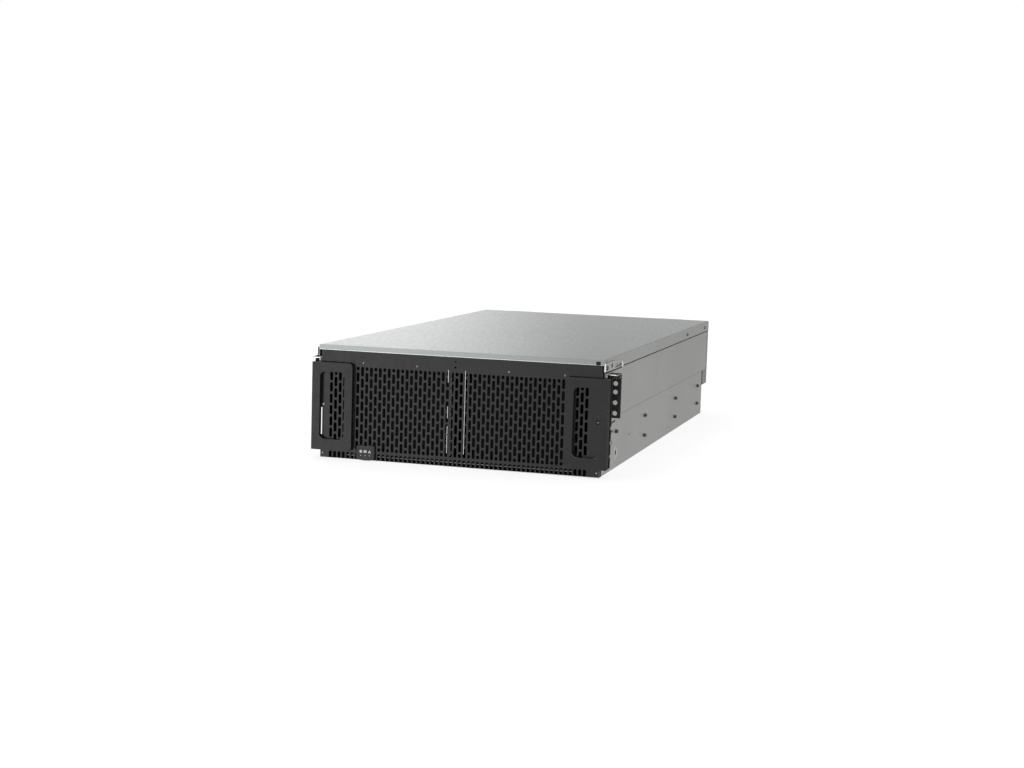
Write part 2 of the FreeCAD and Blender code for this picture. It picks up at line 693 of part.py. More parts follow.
def fan_housing(tag, middle, axis):
    """Housing of one fan with its air opening, and the motor that four arms hold in it."""
    half = "(fan_pitch / 2 - module_gap)"
    shell = block("fan_shell" + tag, (middle + " - " + half, middle + " + " + half),
                  ("fan_front", "fan_rear"), (FAN_FOOT, "fan_top"))
    bore = rod("fan_bore" + tag, "y", (axis, "fan_front - 1", FAN_CENTRE), "fan_bore / cos(7.5)",
               "fan_rear - fan_front + 2", 24)
    frame = cut("fan_frame" + tag, shell, [bore])
    depth = ("fan_rear - 8", "fan_rear - 4")
    reach = "(fan_bore + 1)"
    upright = block("fan_arm_up" + tag, (axis + " - 2", axis + " + 2"), depth,
                    (FAN_CENTRE + " - " + reach, FAN_CENTRE + " + " + reach))
    level = block("fan_arm_across" + tag, (axis + " - " + reach, axis + " + " + reach), depth,
                  (FAN_CENTRE + " - 2", FAN_CENTRE + " + 2"))
    motor = rod("fan_motor" + tag, "y", (axis, "fan_rear - 9", FAN_CENTRE), "rotor_hub + 1", "6", 12)
    stator = cut("fan_stator" + tag, join("fan_arms" + tag, [upright, level, motor]), [frame])
    keep(group("fan_housing" + tag, [frame, stator]), "fan_housing" + tag)


def fan_rotor(tag, axis):
    """Hub and pitched blades of one fan."""
    sunk = 3
    lean = FreeCAD.Rotation(Vector(0, 0, 1), number("blade_pitch"))
    centre_line = number("front_plane + rotor_front + rotor_depth / 2")
    blades = []
    for turn in range(BLADE_COUNT):
        blade = doc.addObject("Part::Box", "blade%s_%d" % (tag, turn))
        blade.setExpression("Length", link("blade_sheet"))
        blade.setExpression("Width", link("blade_chord"))
        blade.setExpression("Height", link("rotor_tip - rotor_hub + %d" % sunk))
        foot = lean.multVec(Vector(-number("blade_sheet / 2"), -number("blade_chord / 2"), 0))
        foot.z = number("rotor_hub") - sunk
        spin = FreeCAD.Rotation(Vector(0, 1, 0), turn * 360.0 / BLADE_COUNT)
        hub_centre = FreeCAD.Placement(Vector(number(axis), centre_line, number(FAN_CENTRE)), spin)
        blade.Placement = hub_centre.multiply(FreeCAD.Placement(foot, lean))
        blades.append(blade)
    hub = rod("hub" + tag, "y", (axis, "rotor_front", FAN_CENTRE), "rotor_hub", "rotor_depth", 16)
    keep(join("fan_rotor" + tag, [hub] + blades), "fan_rotor" + tag)


def fan_module(place):
    """One plug-in fan: housing, rotor and the release latch on its rear face."""
    middle = "(%s) * fan_pitch" % (place - (FAN_COUNT + 1) / 2)
    axis = middle + " - fan_offset"
    tag = "_%d" % place
    fan_housing(tag, middle, axis)
    fan_rotor(tag, axis)
    edge = middle + " + fan_pitch / 2 - module_gap"
    across = (edge + " - 12", edge + " - 3")
    grip = block("latch_grip" + tag, across, ("fan_rear + 0.3", "fan_rear + 3"), ("84", "126"))
    thumb = block("latch_thumb" + tag, across, ("fan_rear + 3", "guard_end"), ("120", "123"))
    keep(join("fan_latch" + tag, [grip, thumb]), "fan_latch" + tag)


MODULE_HEIGHT = ("sheet_metal + module_gap", "shelf_height - module_gap")


def power_supply(name, side):
    """Power supply at an outer bay: housing with inlet recess, air grille and pull loop; lever."""
    inner = "bay_pitch + 0.5 + module_gap"
    outer = "body_width / 2 - 2 * sheet_metal - module_gap"

    def box(label, across, back, up):
        low, high = across
        reach = span(side, "%s + %s" % (inner, low), "%s + %s" % (inner, high))
        return block("psu_%s_%s" % (label, name), reach, back, up)

    housing = block("psu_body_" + name, span(side, inner, outer), ("bay_front", "pan_end"), MODULE_HEIGHT)
    inlet = box("inlet", (66, 93), ("pan_end - 14", "pan_end + 1"), ("8", "28"))
    vent_centre = ("%d * (%s + 30)" % (side, inner), "pan_end - 12", "29")
    vent = rod("psu_vent_" + name, "y", vent_centre, "19", "13", 20)
    hub = rod("psu_hub_" + name, "y", vent_centre, "8", "9", 12)
    shell = cut("psu_shell_" + name, housing, [inlet, vent])
    bow = box("bow", (55, 59), ("pan_end - 1", "pan_end + 18"), ("12", "46"))
    finger_gap = box("finger_gap", (54, 60), ("pan_end", "pan_end + 14"), ("16", "42"))
    loop_handle = cut("psu_loop_" + name, bow, [finger_gap])
    keep(join("power_supply_" + name, [shell, hub, loop_handle]), "power_supply_" + name)
    tab = box("tab", (66, 78), ("pan_end + 0.3", "pan_end + 9"), ("38", "41"))
    stem = box("stem", (66, 78), ("pan_end + 0.3", "pan_end + 2.8"), ("41", "49"))
    keep(join("power_supply_lever_" + name, [tab, stem]), "power_supply_lever_" + name)


def io_module(name, side):
    """I/O module at a middle bay: housing with four cable ports and a network port; lever."""
    across = span(side, "0.5 + module_gap", "bay_pitch - 0.5 - module_gap")
    housing = block("io_body_" + name, across, ("bay_front", "pan_end"), MODULE_HEIGHT)
    recess = ("pan_end - 12", "pan_end + 1")
    ports = []
    for place in range(4):
        left = 14 + 22 * place
        ports.append(block("io_port_%s_%d" % (name, place), span(side, str(left), str(left + 17)),
                           recess, ("30", "39")))
    ports.append(block("io_net_" + name, span(side, "14", "29"), recess, ("12", "24")))
    keep(cut("io_module_" + name, housing, ports), "io_module_" + name)
    up = ("10", "18")
    bar = block("io_bar_" + name, span(side, "40", "100"), ("pan_end + 0.3", "pan_end + 4.3"), up)
    grip = block("io_grip_" + name, span(side, "40", "46"), ("pan_end + 4.3", "pan_end + 10"), up)
    keep(join("io_lever_" + name, [bar, grip]), "io_lever_" + name)


# ---------------------------------------------------------------- lid

def lid():
    """Folded lid sheet with side flanges and a front lip that ends in a rolled hem."""
    body = new_body("lid")
    outer = "lid_width / 2"
    inner = "lid_width / 2 - sheet_metal"
    low = "body_height - lid_flange"
    under = "body_height - sheet_metal"
    profile = new_sketch(body, "lid_profile", "XZ_Plane", "lid_front")
    outline(profile, [
        ("-(%s)" % outer, low), ("-(%s)" % outer, "body_height"), (outer, "body_height"), (outer, low),
        (inner, low), (inner, under), ("-(%s)" % inner, under), ("-(%s)" % inner, low)])
    sheet_pad = pad(body, profile, "lid_end - lid_front", backwards=True)
    height, half = number("body_height"), number(outer)
    dress(body, "Fillet", "lid_bends", sheet_pad,
          lambda a, b: abs(abs(a.x) - half) < 0.1 and abs(abs(b.x) - half) < 0.1
          and abs(a.z - height) < 0.1 and abs(b.z - height) < 0.1 and abs(a.y - b.y) > 5,
          "Radius", "lid_bend")
    lip = new_sketch(body, "front_lip", "XZ_Plane", "lid_front")
    foot = "body_height - lid_lip"
    rectangle(lip, ("-(%s)" % inner, inner), (foot, "body_height - sheet_metal"))
    pad(body, lip, "sheet_metal", backwards=True)
    hem = new_sketch(body, "front_hem", "YZ_Plane", "-(%s)" % inner)
    outline(hem, [
        ("lid_front", foot), ("lid_front", foot + " + lid_hem"),
        ("lid_front - lid_hem / 2", foot + " + 0.7 * lid_hem"),
        ("lid_front - lid_hem / 2", foot + " + 0.3 * lid_hem")])
    pad(body, hem, "2 * (%s)" % inner)
    keep(body, "lid")
    hats = []
    for place, back in enumerate(("150", "420", "700")):
        solid = block("hat_%d" % place, ("-190", "190"), (back, "%s + 36" % back),
                      ("body_height - sheet_metal - 4", "body_height - sheet_metal"))
        trough = block("hat_gap_%d" % place, ("-191", "191"), ("%s + 9" % back, "%s + 27" % back),
                       ("body_height - sheet_metal - 3", "body_height - sheet_metal + 1"))
        hats.append(cut("stiffener_%d" % place, solid, [trough]))
    keep(group("lid_stiffeners", hats), "lid_stiffeners")


def lid_hinges():
    """Two butt hinges behind the rear header: lid leaves, frame leaves and pins."""
    lid_leaves, frame_leaves, pins = [], [], []
    axis = ("hinge_back", "hinge_height")
    half = "knuckle_frame / 2"
    reach = half + " + knuckle_gap + knuckle_lid"
    for name, side in SIDES:
        centre = "%d * hinge_span" % side
        hole = rod("hinge_hole_" + name, "x", ("%s - (%s) - 1" % (centre, reach),) + axis,
                   "(pin_radius + 0.1) / cos(15)", "2 * (%s) + 2" % reach, 12)
        middle = rod("barrel_middle_" + name, "x", ("%s - %s" % (centre, half),) + axis,
                     "barrel_radius", "knuckle_frame", 12)
        strap = block("frame_strap_" + name, ("%s - %s" % (centre, half), "%s + %s" % (centre, half)),
                      ("header_back", "header_back + sheet_metal"), ("158", "hinge_height"))
        blank = join("frame_leaf_blank_" + name, [middle, strap])
        frame_leaves.append(cut("frame_leaf_" + name, blank, [hole]))
        for end, start in (("in", "%s - (%s)" % (centre, reach)),
                           ("out", "%s + %s + knuckle_gap" % (centre, half))):
            tag = "%s_%s" % (name, end)
            barrel = rod("barrel_" + tag, "x", (start,) + axis, "barrel_radius", "knuckle_lid", 12)
            leaf = block("leaf_" + tag, (start, start + " + knuckle_lid"), ("838", "hinge_back"),
                         ("body_height - sheet_metal - 1.1", "body_height - sheet_metal"))
            blank = join("lid_leaf_blank_" + tag, [barrel, leaf])
            lid_leaves.append(cut("lid_leaf_" + tag, blank, [hole]))
        pins.append(rod("hinge_pin_" + name, "x", ("%s - (%s)" % (centre, reach),) + axis,
                        "pin_radius", "2 * (%s)" % reach))
    keep(group("lid_hinge_leaves", lid_leaves), "lid_hinge_leaves")
    keep(group("frame_hinge_leaves", frame_leaves), "frame_hinge_leaves")
    keep(group("hinge_pins", pins), "hinge_pins")


def lid_latch(name, side):
    """Latch lever on the lid's side flange, with a finger loop at its rear end."""
    body = new_body("latch_lever_" + name)
    face = "lid_width / 2 + 0.4" if side > 0 else "-(lid_width / 2 + 0.4 + latch_sheet)"
    tip = "latch_back + latch_length"
    lever = new_sketch(body, "lever_" + name, "YZ_Plane", face)
    outline(lever, [
        ("latch_back - 7", "latch_height - 6"), (tip, "latch_height - 10.5"), (tip, "latch_height + 1"),
        ("latch_back + 50", "latch_height + 6.5"), ("latch_back - 7", "latch_height + 6.5")])
    plate = pad(body, lever, "latch_sheet")
    end = number(tip)
    dress(body, "Fillet", "tip_" + name, plate,
          lambda a, b: abs(a.x - b.x) > 1 and abs(a.y - end) < 0.1, "Radius", "5")
    openings = new_sketch(body, "loop_" + name, "YZ_Plane")
    outline(openings, [
        ("latch_back + 56", "latch_height - 4.6"), (tip + " - 5", "latch_height - 6.8"),
        (tip + " - 5", "latch_height - 1.8"), ("latch_back + 56", "latch_height + 2")])
    rectangle(openings, ("latch_back + 28", "latch_back + 42"),
              ("latch_height - 2.5", "latch_height + 3.5"))
    pocket_through(body, openings)
    hole = rod("latch_hole_" + name, "x", (face + " - 1", "latch_back", "latch_height"),
               "(latch_pivot + 0.06) / cos(15)", "latch_sheet + 2", 12)
    keep(cut("lid_latch_" + name, body, [hole]), "lid_latch_" + name)


def lid_rivets():
    """Latch pivots and the flange screws on both sides of the lid."""
    pieces = []
    for name, side in SIDES:
        face = "lid_width / 2"
        for place, back in enumerate(("642.5", "816.8")):
            start = face if side > 0 else "-(%s + 1.2)" % face
            pieces.append(rod("lid_screw_%s_%d" % (name, place), "x", (start, back, "165"),
                              "3.4", "1.2", 8))
        head = face + " + latch_sheet + 0.8"
        start = head if side > 0 else "-(%s + 1.5)" % head
        cap = rod("pivot_head_" + name, "x", (start, "latch_back", "latch_height"), "4", "1.5", 12)
        start = face if side > 0 else "-(%s)" % head
        shank = rod("pivot_shank_" + name, "x", (start, "latch_back", "latch_height"), "latch_pivot",
                    "latch_sheet + 0.8")
        pieces.append(join("latch_pivot_" + name, [cap, shank]))
    keep(group("lid_rivets", pieces), "lid_rivets")


# ---------------------------------------------------------------- build and write

base_pan()
front_grille()
front_furniture()
rack_ears()
rail_stops()
for side_name, side_sign in SIDES:
    upper_side(side_name, side_sign)
    handle(side_name, side_sign)
drive_tray()
drives()
drive_zone_frame()
rear_structure()
rear_guards()
for fan in range(1, FAN_COUNT + 1):
    fan_module(fan)
for side_name, side_sign in SIDES:
    power_supply(side_name, side_sign)
    io_module(side_name, side_sign)
lid()
lid_hinges()
for side_name, side_sign in SIDES:
    lid_latch(side_name, side_sign)
lid_rivets()

doc.recompute()
for item in doc.Objects:
    if "Invalid" in item.State or "Error" in item.State:
        raise RuntimeError("%s did not recompute: %s" % (item.Name, item.State))
os.makedirs("parts", exist_ok=True)
for piece in subparts:
    if piece.Shape.isNull() or not piece.Shape.isValid():
        raise RuntimeError("%s has no valid shape" % piece.Label)
    piece.Shape.exportStep("parts/%s.step" % piece.Label)
print("%d sub-parts written" % len(subparts))
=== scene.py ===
"""Looks of the disk shelf enclosure: finishes, detailed pieces, studio light and camera.

Lengths are in millimetres and measured as in the model: across from the middle, back from the
face of the front grille, up from the foot. at() turns them into metres of the frame. Only the
studio section has lengths in metres.
"""

import json
import math

import bmesh
import bpy
from mathutils import Matrix, Vector


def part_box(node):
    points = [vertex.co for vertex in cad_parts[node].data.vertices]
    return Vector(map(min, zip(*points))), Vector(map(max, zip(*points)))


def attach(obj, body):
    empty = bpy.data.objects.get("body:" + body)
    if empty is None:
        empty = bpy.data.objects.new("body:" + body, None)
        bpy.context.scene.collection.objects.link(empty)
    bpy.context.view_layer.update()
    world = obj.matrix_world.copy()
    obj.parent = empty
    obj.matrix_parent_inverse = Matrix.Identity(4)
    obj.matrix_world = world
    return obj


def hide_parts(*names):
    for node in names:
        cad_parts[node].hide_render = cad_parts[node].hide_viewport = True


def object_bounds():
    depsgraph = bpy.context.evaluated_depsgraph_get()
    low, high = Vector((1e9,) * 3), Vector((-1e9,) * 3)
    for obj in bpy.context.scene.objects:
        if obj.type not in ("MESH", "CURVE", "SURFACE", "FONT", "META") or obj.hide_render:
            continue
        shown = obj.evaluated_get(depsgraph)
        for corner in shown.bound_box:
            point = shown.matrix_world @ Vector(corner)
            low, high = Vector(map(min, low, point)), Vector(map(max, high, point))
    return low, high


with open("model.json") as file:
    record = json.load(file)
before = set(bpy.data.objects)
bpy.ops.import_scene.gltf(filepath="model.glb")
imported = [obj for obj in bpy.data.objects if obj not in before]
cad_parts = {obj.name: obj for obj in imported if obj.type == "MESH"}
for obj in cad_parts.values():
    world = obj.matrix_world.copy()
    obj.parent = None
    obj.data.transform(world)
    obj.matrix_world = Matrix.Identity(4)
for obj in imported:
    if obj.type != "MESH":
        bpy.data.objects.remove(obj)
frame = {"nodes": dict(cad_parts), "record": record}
cad_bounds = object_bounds()

MM = 0.001
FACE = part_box("front_grille")[0].y / MM
SIDES = (("left", -1), ("right", 1))
BAYS = (1, 2, 3, 4)
DRIVE_ROWS = (1, 2, 3, 4, 5)


def at(across, back, up):
    """A point of the frame, in metres, from millimetres measured at the grille."""
    return Vector((across, FACE + back, up)) * MM


def corners(node):
    """Lowest and highest corner of a CAD node, in millimetres measured at the grille."""
    low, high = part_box(node)
    shift = Vector((0, FACE, 0))
    return low / MM - shift, high / MM - shift


# ---------------------------------------------------------------- finishes

class Finish:
    """A material's node tree with short calls for the nodes used here."""

    def __init__(self, name, roughness, metallic=0.0, specular=0.5):
        self.material = bpy.data.materials.new(name)
        self.material.use_nodes = True
        self.tree = self.material.node_tree
        self.shader = self.tree.nodes["Principled BSDF"]
        self.shader.inputs["Roughness"].default_value = roughness
        self.shader.inputs["Metallic"].default_value = metallic
        self.shader.inputs["Specular IOR Level"].default_value = specular
        self.place = self.add("ShaderNodeTexCoord").outputs["Object"]

    def add(self, kind, **settings):
        """A new node of the tree."""
        node = self.tree.nodes.new(kind)
        for name, value in settings.items():
            setattr(node, name, value)
        return node

    def link(self, source, socket):
        """Join an output to a socket."""
        self.tree.links.new(source, socket)

    def feed(self, name, source):
        """Drive a socket of the shader."""
        self.link(source, self.shader.inputs[name])

    def noise(self, size, detail=3.0, stretch=(1, 1, 1)):
        """Noise whose features are about size millimetres, drawn out per axis."""
        spread = self.add("ShaderNodeMapping")
        spread.inputs["Scale"].default_value = stretch
        self.link(self.place, spread.inputs["Vector"])
        node = self.add("ShaderNodeTexNoise")
        node.inputs["Scale"].default_value = 1 / (size * MM)
        node.inputs["Detail"].default_value = detail
        self.link(spread.outputs["Vector"], node.inputs["Vector"])
        return node.outputs["Fac"]

    def ramp(self, source, low, high, start=0.0, end=1.0):
        """Map low..high of a value to start..end."""
        node = self.add("ShaderNodeMapRange", interpolation_type="SMOOTHSTEP")
        limits = (("From Min", low), ("From Max", high), ("To Min", start), ("To Max", end))
        for name, value in limits:
            node.inputs[name].default_value = value
        self.link(source, node.inputs["Value"])
        return node.outputs["Result"]

    def blend(self, share, first, second):
        """Mix two colours by a share; each is a colour or a socket."""
        node = self.add("ShaderNodeMix", data_type="RGBA")
        self.link(share, node.inputs["Factor"])
        for socket, value in (("A", first), ("B", second)):
            target = next(item for item in node.inputs
                          if item.name == socket and item.type == "RGBA")
            if isinstance(value, tuple):
                target.default_value = value + (1.0,)
            else:
                self.link(value, target)
        return next(item for item in node.outputs if item.type == "RGBA")

    def clouded(self, colour, size, low, high):
        """A colour that drifts slowly between two of its shades."""
        cloud = self.noise(size, 4)
        return self.blend(self.ramp(cloud, 0.3, 0.7), scaled(colour, low), scaled(colour, high))

    def bump(self, height, depth):
        """Bump of depth millimetres from a height value."""
        node = self.add("ShaderNodeBump")
        node.inputs["Distance"].default_value = depth * MM
        self.link(height, node.inputs["Height"])
        self.feed("Normal", node.outputs["Normal"])

    def wear_and_highlight_edges(self, tone, colour, width):
        """Base colour tone, with colour along the edges: partly wear from use, partly painted
        highlight.
        """
        rounded = self.add("ShaderNodeBevel", samples=6)
        rounded.inputs["Radius"].default_value = width * MM
        flat = self.add("ShaderNodeNewGeometry").outputs["Normal"]
        match = self.add("ShaderNodeVectorMath", operation="DOT_PRODUCT")
        self.link(rounded.outputs["Normal"], match.inputs[0])
        self.link(flat, match.inputs[1])
        edge = self.ramp(match.outputs["Value"], 0.88, 0.98, 1.0, 0.0)
        self.feed("Base Color", self.blend(edge, tone, colour))


def scaled(colour, factor):
    """A colour made lighter or darker."""
    return tuple(min(1.0, channel * factor) for channel in colour)


# Tuned to the photograph's tones: keeps steel from mirroring the white world too brightly at
# grazing angles.
EDGE_TINT = (0.39, 0.39, 0.39, 1)


def sheet_steel(name, colour, roughness, brush=(1, 1, 1), edge=1.35):
    """Plated sheet steel: faint rolling lines, slow mottle and brighter cut edges, partly wear and
    partly painted highlight.
    """
    finish = Finish(name, roughness, metallic=1.0)
    finish.shader.inputs["Specular Tint"].default_value = EDGE_TINT
    finish.wear_and_highlight_edges(finish.clouded(colour, 140, 0.965, 1.03), scaled(colour, edge), 0.5)
    lines = finish.noise(1.2, 4, brush)
    finish.feed("Roughness", finish.ramp(lines, 0.25, 0.75, roughness - 0.04, roughness + 0.06))
    finish.bump(lines, 0.006)
    return finish.material


def painted_steel(name, colour, roughness, grain, specular=0.5, wear_and_highlight=2.2):
    """Powder paint: fine orange peel, and edges lighter by the given factor: partly wear, partly
    painted highlight.
    """
    finish = Finish(name, roughness, specular=specular)
    finish.wear_and_highlight_edges(finish.clouded(colour, 60, 0.88, 1.1), scaled(colour, wear_and_highlight), 0.5)
    finish.bump(finish.noise(grain, 3), 0.03)
    wear = finish.noise(9, 3)
    finish.feed("Roughness", finish.ramp(wear, 0.3, 0.7, roughness - 0.05, roughness + 0.06))
    return finish.material


def moulded_plastic(name, colour, roughness, grain=0.35, depth=0.02, specular=0.5):
    """Moulded plastic: fine spark-eroded grain and a faint cloud of tone."""
    finish = Finish(name, roughness, specular=specular)
    finish.wear_and_highlight_edges(finish.clouded(colour, 25, 0.85, 1.15), scaled(colour, 1.6), 0.3)
    finish.bump(finish.noise(grain, 2), depth)
    return finish.material


def cast_metal(name, colour, roughness):
    """Cast or machined metal with a grainy skin."""
    finish = Finish(name, roughness, metallic=1.0)
    finish.wear_and_highlight_edges(finish.clouded(colour, 8, 0.8, 1.1), scaled(colour, 1.4), 0.6)
    finish.bump(finish.noise(0.8, 4), 0.05)
    return finish.material


def circuit_board(name, colour):
    """Solder mask over copper tracks: a fine grid of lighter lines under a gloss."""
    finish = Finish(name, 0.35)
    track = finish.add("ShaderNodeTexBrick")
    track.inputs["Scale"].default_value = 160
    for socket, factor in (("Color1", 0.9), ("Color2", 1.1), ("Mortar", 1.9)):
        track.inputs[socket].default_value = scaled(colour, factor) + (1.0,)
    track.inputs["Mortar Size"].default_value = 0.03
    finish.link(finish.place, track.inputs["Vector"])
    finish.feed("Base Color", track.outputs["Color"])
    finish.bump(track.outputs["Fac"], 0.03)
    return finish.material


def lit_window(name, colour, glow):
    """Frosted light window with a faint glow."""
    finish = Finish(name, 0.25)
    frost = finish.noise(0.6, 2)
    tone = finish.blend(finish.ramp(frost, 0.3, 0.7), scaled(colour, 0.85), colour)
    finish.feed("Base Color", tone)
    finish.feed("Emission Color", tone)
    finish.shader.inputs["Emission Strength"].default_value = glow
    return finish.material


LENGTHWAYS = (1, 0.05, 1)
UPWAYS = (1, 1, 0.05)
FINISHES = {
    "zinc_steel": sheet_steel("zinc_steel", (0.53, 0.53, 0.52), 0.32, LENGTHWAYS),
    "lid_steel": sheet_steel("lid_steel", (0.45, 0.471, 0.476), 0.20, LENGTHWAYS),
    # Darker copy of the lid steel for the front lip: painted shade.
    "lip_steel_shaded": sheet_steel("lip_steel_shaded", (0.245, 0.258, 0.262), 0.20, LENGTHWAYS),
    "latch_steel": sheet_steel("latch_steel", (0.62, 0.62, 0.61), 0.24),
    # Much lighter steel for edges and rims that catch the light: painted highlight.
    "highlight_steel": sheet_steel("highlight_steel", (0.80, 0.80, 0.79), 0.20),
    # Darker copy of the steel for parts deep inside the case: painted shade.
    "shaded_inner_steel": sheet_steel("shaded_inner_steel", (0.16, 0.16, 0.155), 0.45),
    # The bezel and handle paints get edges 4 and 9 times lighter: mostly painted highlight.
    "bezel_black": painted_steel("bezel_black", (0.0055, 0.0052, 0.0052), 0.20, 0.5, 0.34, 4),
    "handle_black": painted_steel("handle_black", (0.0045, 0.0043, 0.0044), 0.22, 0.7, 0.33, 9),
    # Lighter copy of the handle paint for the rims: painted highlight.
    "handle_highlight_paint": painted_steel("handle_highlight_paint", (0.10, 0.099, 0.098), 0.35, 0.7, 0.4, 1.5),
    # Black paint of the ear plates, lighter than the bezel's: painted light.
    "ear_black_lit": painted_steel("ear_black_lit", (0.013, 0.013, 0.013), 0.35, 0.7, 0.4, 3),
    "guard_grey": painted_steel("guard_grey", (0.075, 0.077, 0.08), 0.45, 0.7),
    "bright_zinc": sheet_steel("bright_zinc", (0.40, 0.40, 0.392), 0.24),
    "screw_zinc": cast_metal("screw_zinc", (0.24, 0.24, 0.235), 0.35),
    "screw_dark": cast_metal("screw_dark", (0.10, 0.10, 0.10), 0.35),
    "light_window": lit_window("light_window", (0.42, 0.44, 0.44), 0.1),
    "light_green": lit_window("light_green", (0.04, 0.30, 0.10), 0.15),
    "circuit_board": circuit_board("circuit_board", (0.006, 0.045, 0.018)),
    "drive_cast": cast_metal("drive_cast", (0.22, 0.22, 0.225), 0.45),
    "carrier_plastic": moulded_plastic("carrier_plastic", (0.007, 0.007, 0.0073), 0.75,
                                       specular=0.12),
    "module_black": moulded_plastic("module_black", (0.014, 0.014, 0.015), 0.45),
    "rotor_plastic": moulded_plastic("rotor_plastic", (0.011, 0.011, 0.012), 0.35, 0.8, 0.01),
    "latch_blue": moulded_plastic("latch_blue", (0.012, 0.07, 0.20), 0.4),
    "module_steel": sheet_steel("module_steel", (0.33, 0.33, 0.325), 0.34, UPWAYS),
    "gasket_black": moulded_plastic("gasket_black", (0.01, 0.01, 0.01), 0.8, 0.8, 0.05, 0.2),
}

# Parts deep inside the case, given a darker steel as painted shade.
SHADED_NODES = ("drive_tray", "row_partitions", "front_beam", "middle_beam", "channel_walls")
OTHER_FINISH = dict({node: "shaded_inner_steel" for node in SHADED_NODES},
                    rear_guards="guard_grey", rack_ears="ear_black_lit",
                    lid_latch_left="latch_steel", lid_latch_right="latch_steel")


def dress_cad_nodes():
    """Give every CAD node the finish of its slot, or the one listed for it; deep inside the case
    that is a darker steel: painted shade.
    """
    for part in frame["record"]["subparts"]:
        finish = OTHER_FINISH.get(part["node"], part["material_slot"])
        mesh = frame["nodes"][part["node"]].data
        mesh.materials.clear()
        mesh.materials.append(FINISHES[finish])


# Width of the rounding of CAD nodes whose sharp edges show.
SOFT_EDGES = {
    "rack_ears": 0.4, "rail_stops": 0.4, "status_panel": 0.5, "rear_guards": 0.5,
    "lid_stiffeners": 0.6,
}
for side_name, side_sign in SIDES:
    SOFT_EDGES["handle_" + side_name] = 1.2
    SOFT_EDGES["lid_latch_" + side_name] = 0.6
    SOFT_EDGES["io_module_" + side_name] = 0.4
    SOFT_EDGES["io_lever_" + side_name] = 0.8
    SOFT_EDGES["power_supply_" + side_name] = 0.5
    SOFT_EDGES["power_supply_lever_" + side_name] = 0.8
for bay in BAYS:
    SOFT_EDGES["fan_housing_%d" % bay] = 0.8
    SOFT_EDGES["fan_latch_%d" % bay] = 0.6
for row in DRIVE_ROWS:
    SOFT_EDGES["drive_row_%d" % row] = 1.0
HIGHLIGHT_EDGED = ("lid_latch_left", "lid_latch_right")


def soften_cad_nodes():
    """Round the sharp edges of the CAD nodes' shown form; the latches' rounded edges get a much
    lighter steel: painted highlight.
    """
    for node, width in SOFT_EDGES.items():
        item = frame["nodes"][node]
        weld = item.modifiers.new("weld", "WELD")
        weld.merge_threshold = 0.00001
        edges = round_edges(item, width, limit=35)
        if node in HIGHLIGHT_EDGED:
            item.data.materials.append(FINISHES["highlight_steel"])
            edges.material = 1


def round_edges(item, width, limit=40):
    """Bevel the edges of an object that turn by more than limit degrees."""
    edges = item.modifiers.new("edges", "BEVEL")
    edges.width = width * MM
    edges.segments = 2
    edges.limit_method = "ANGLE"
    edges.angle_limit = math.radians(limit)
    return edges


# ---------------------------------------------------------------- mesh helpers

# Per axis: the axis, and the two directions that a turn about it starts with.
TURNING = {"x": (Vector((1, 0, 0)), Vector((0, 1, 0)), Vector((0, 0, 1))),
           "y": (Vector((0, 1, 0)), Vector((0, 0, 1)), Vector((1, 0, 0)))}


def spokes(right, up, steps):
    """Directions of unit length all round, turning from right to up."""
    turns = [2 * math.pi * step / steps for step in range(steps)]
    return [right * math.cos(turn) + up * math.sin(turn) for turn in turns]


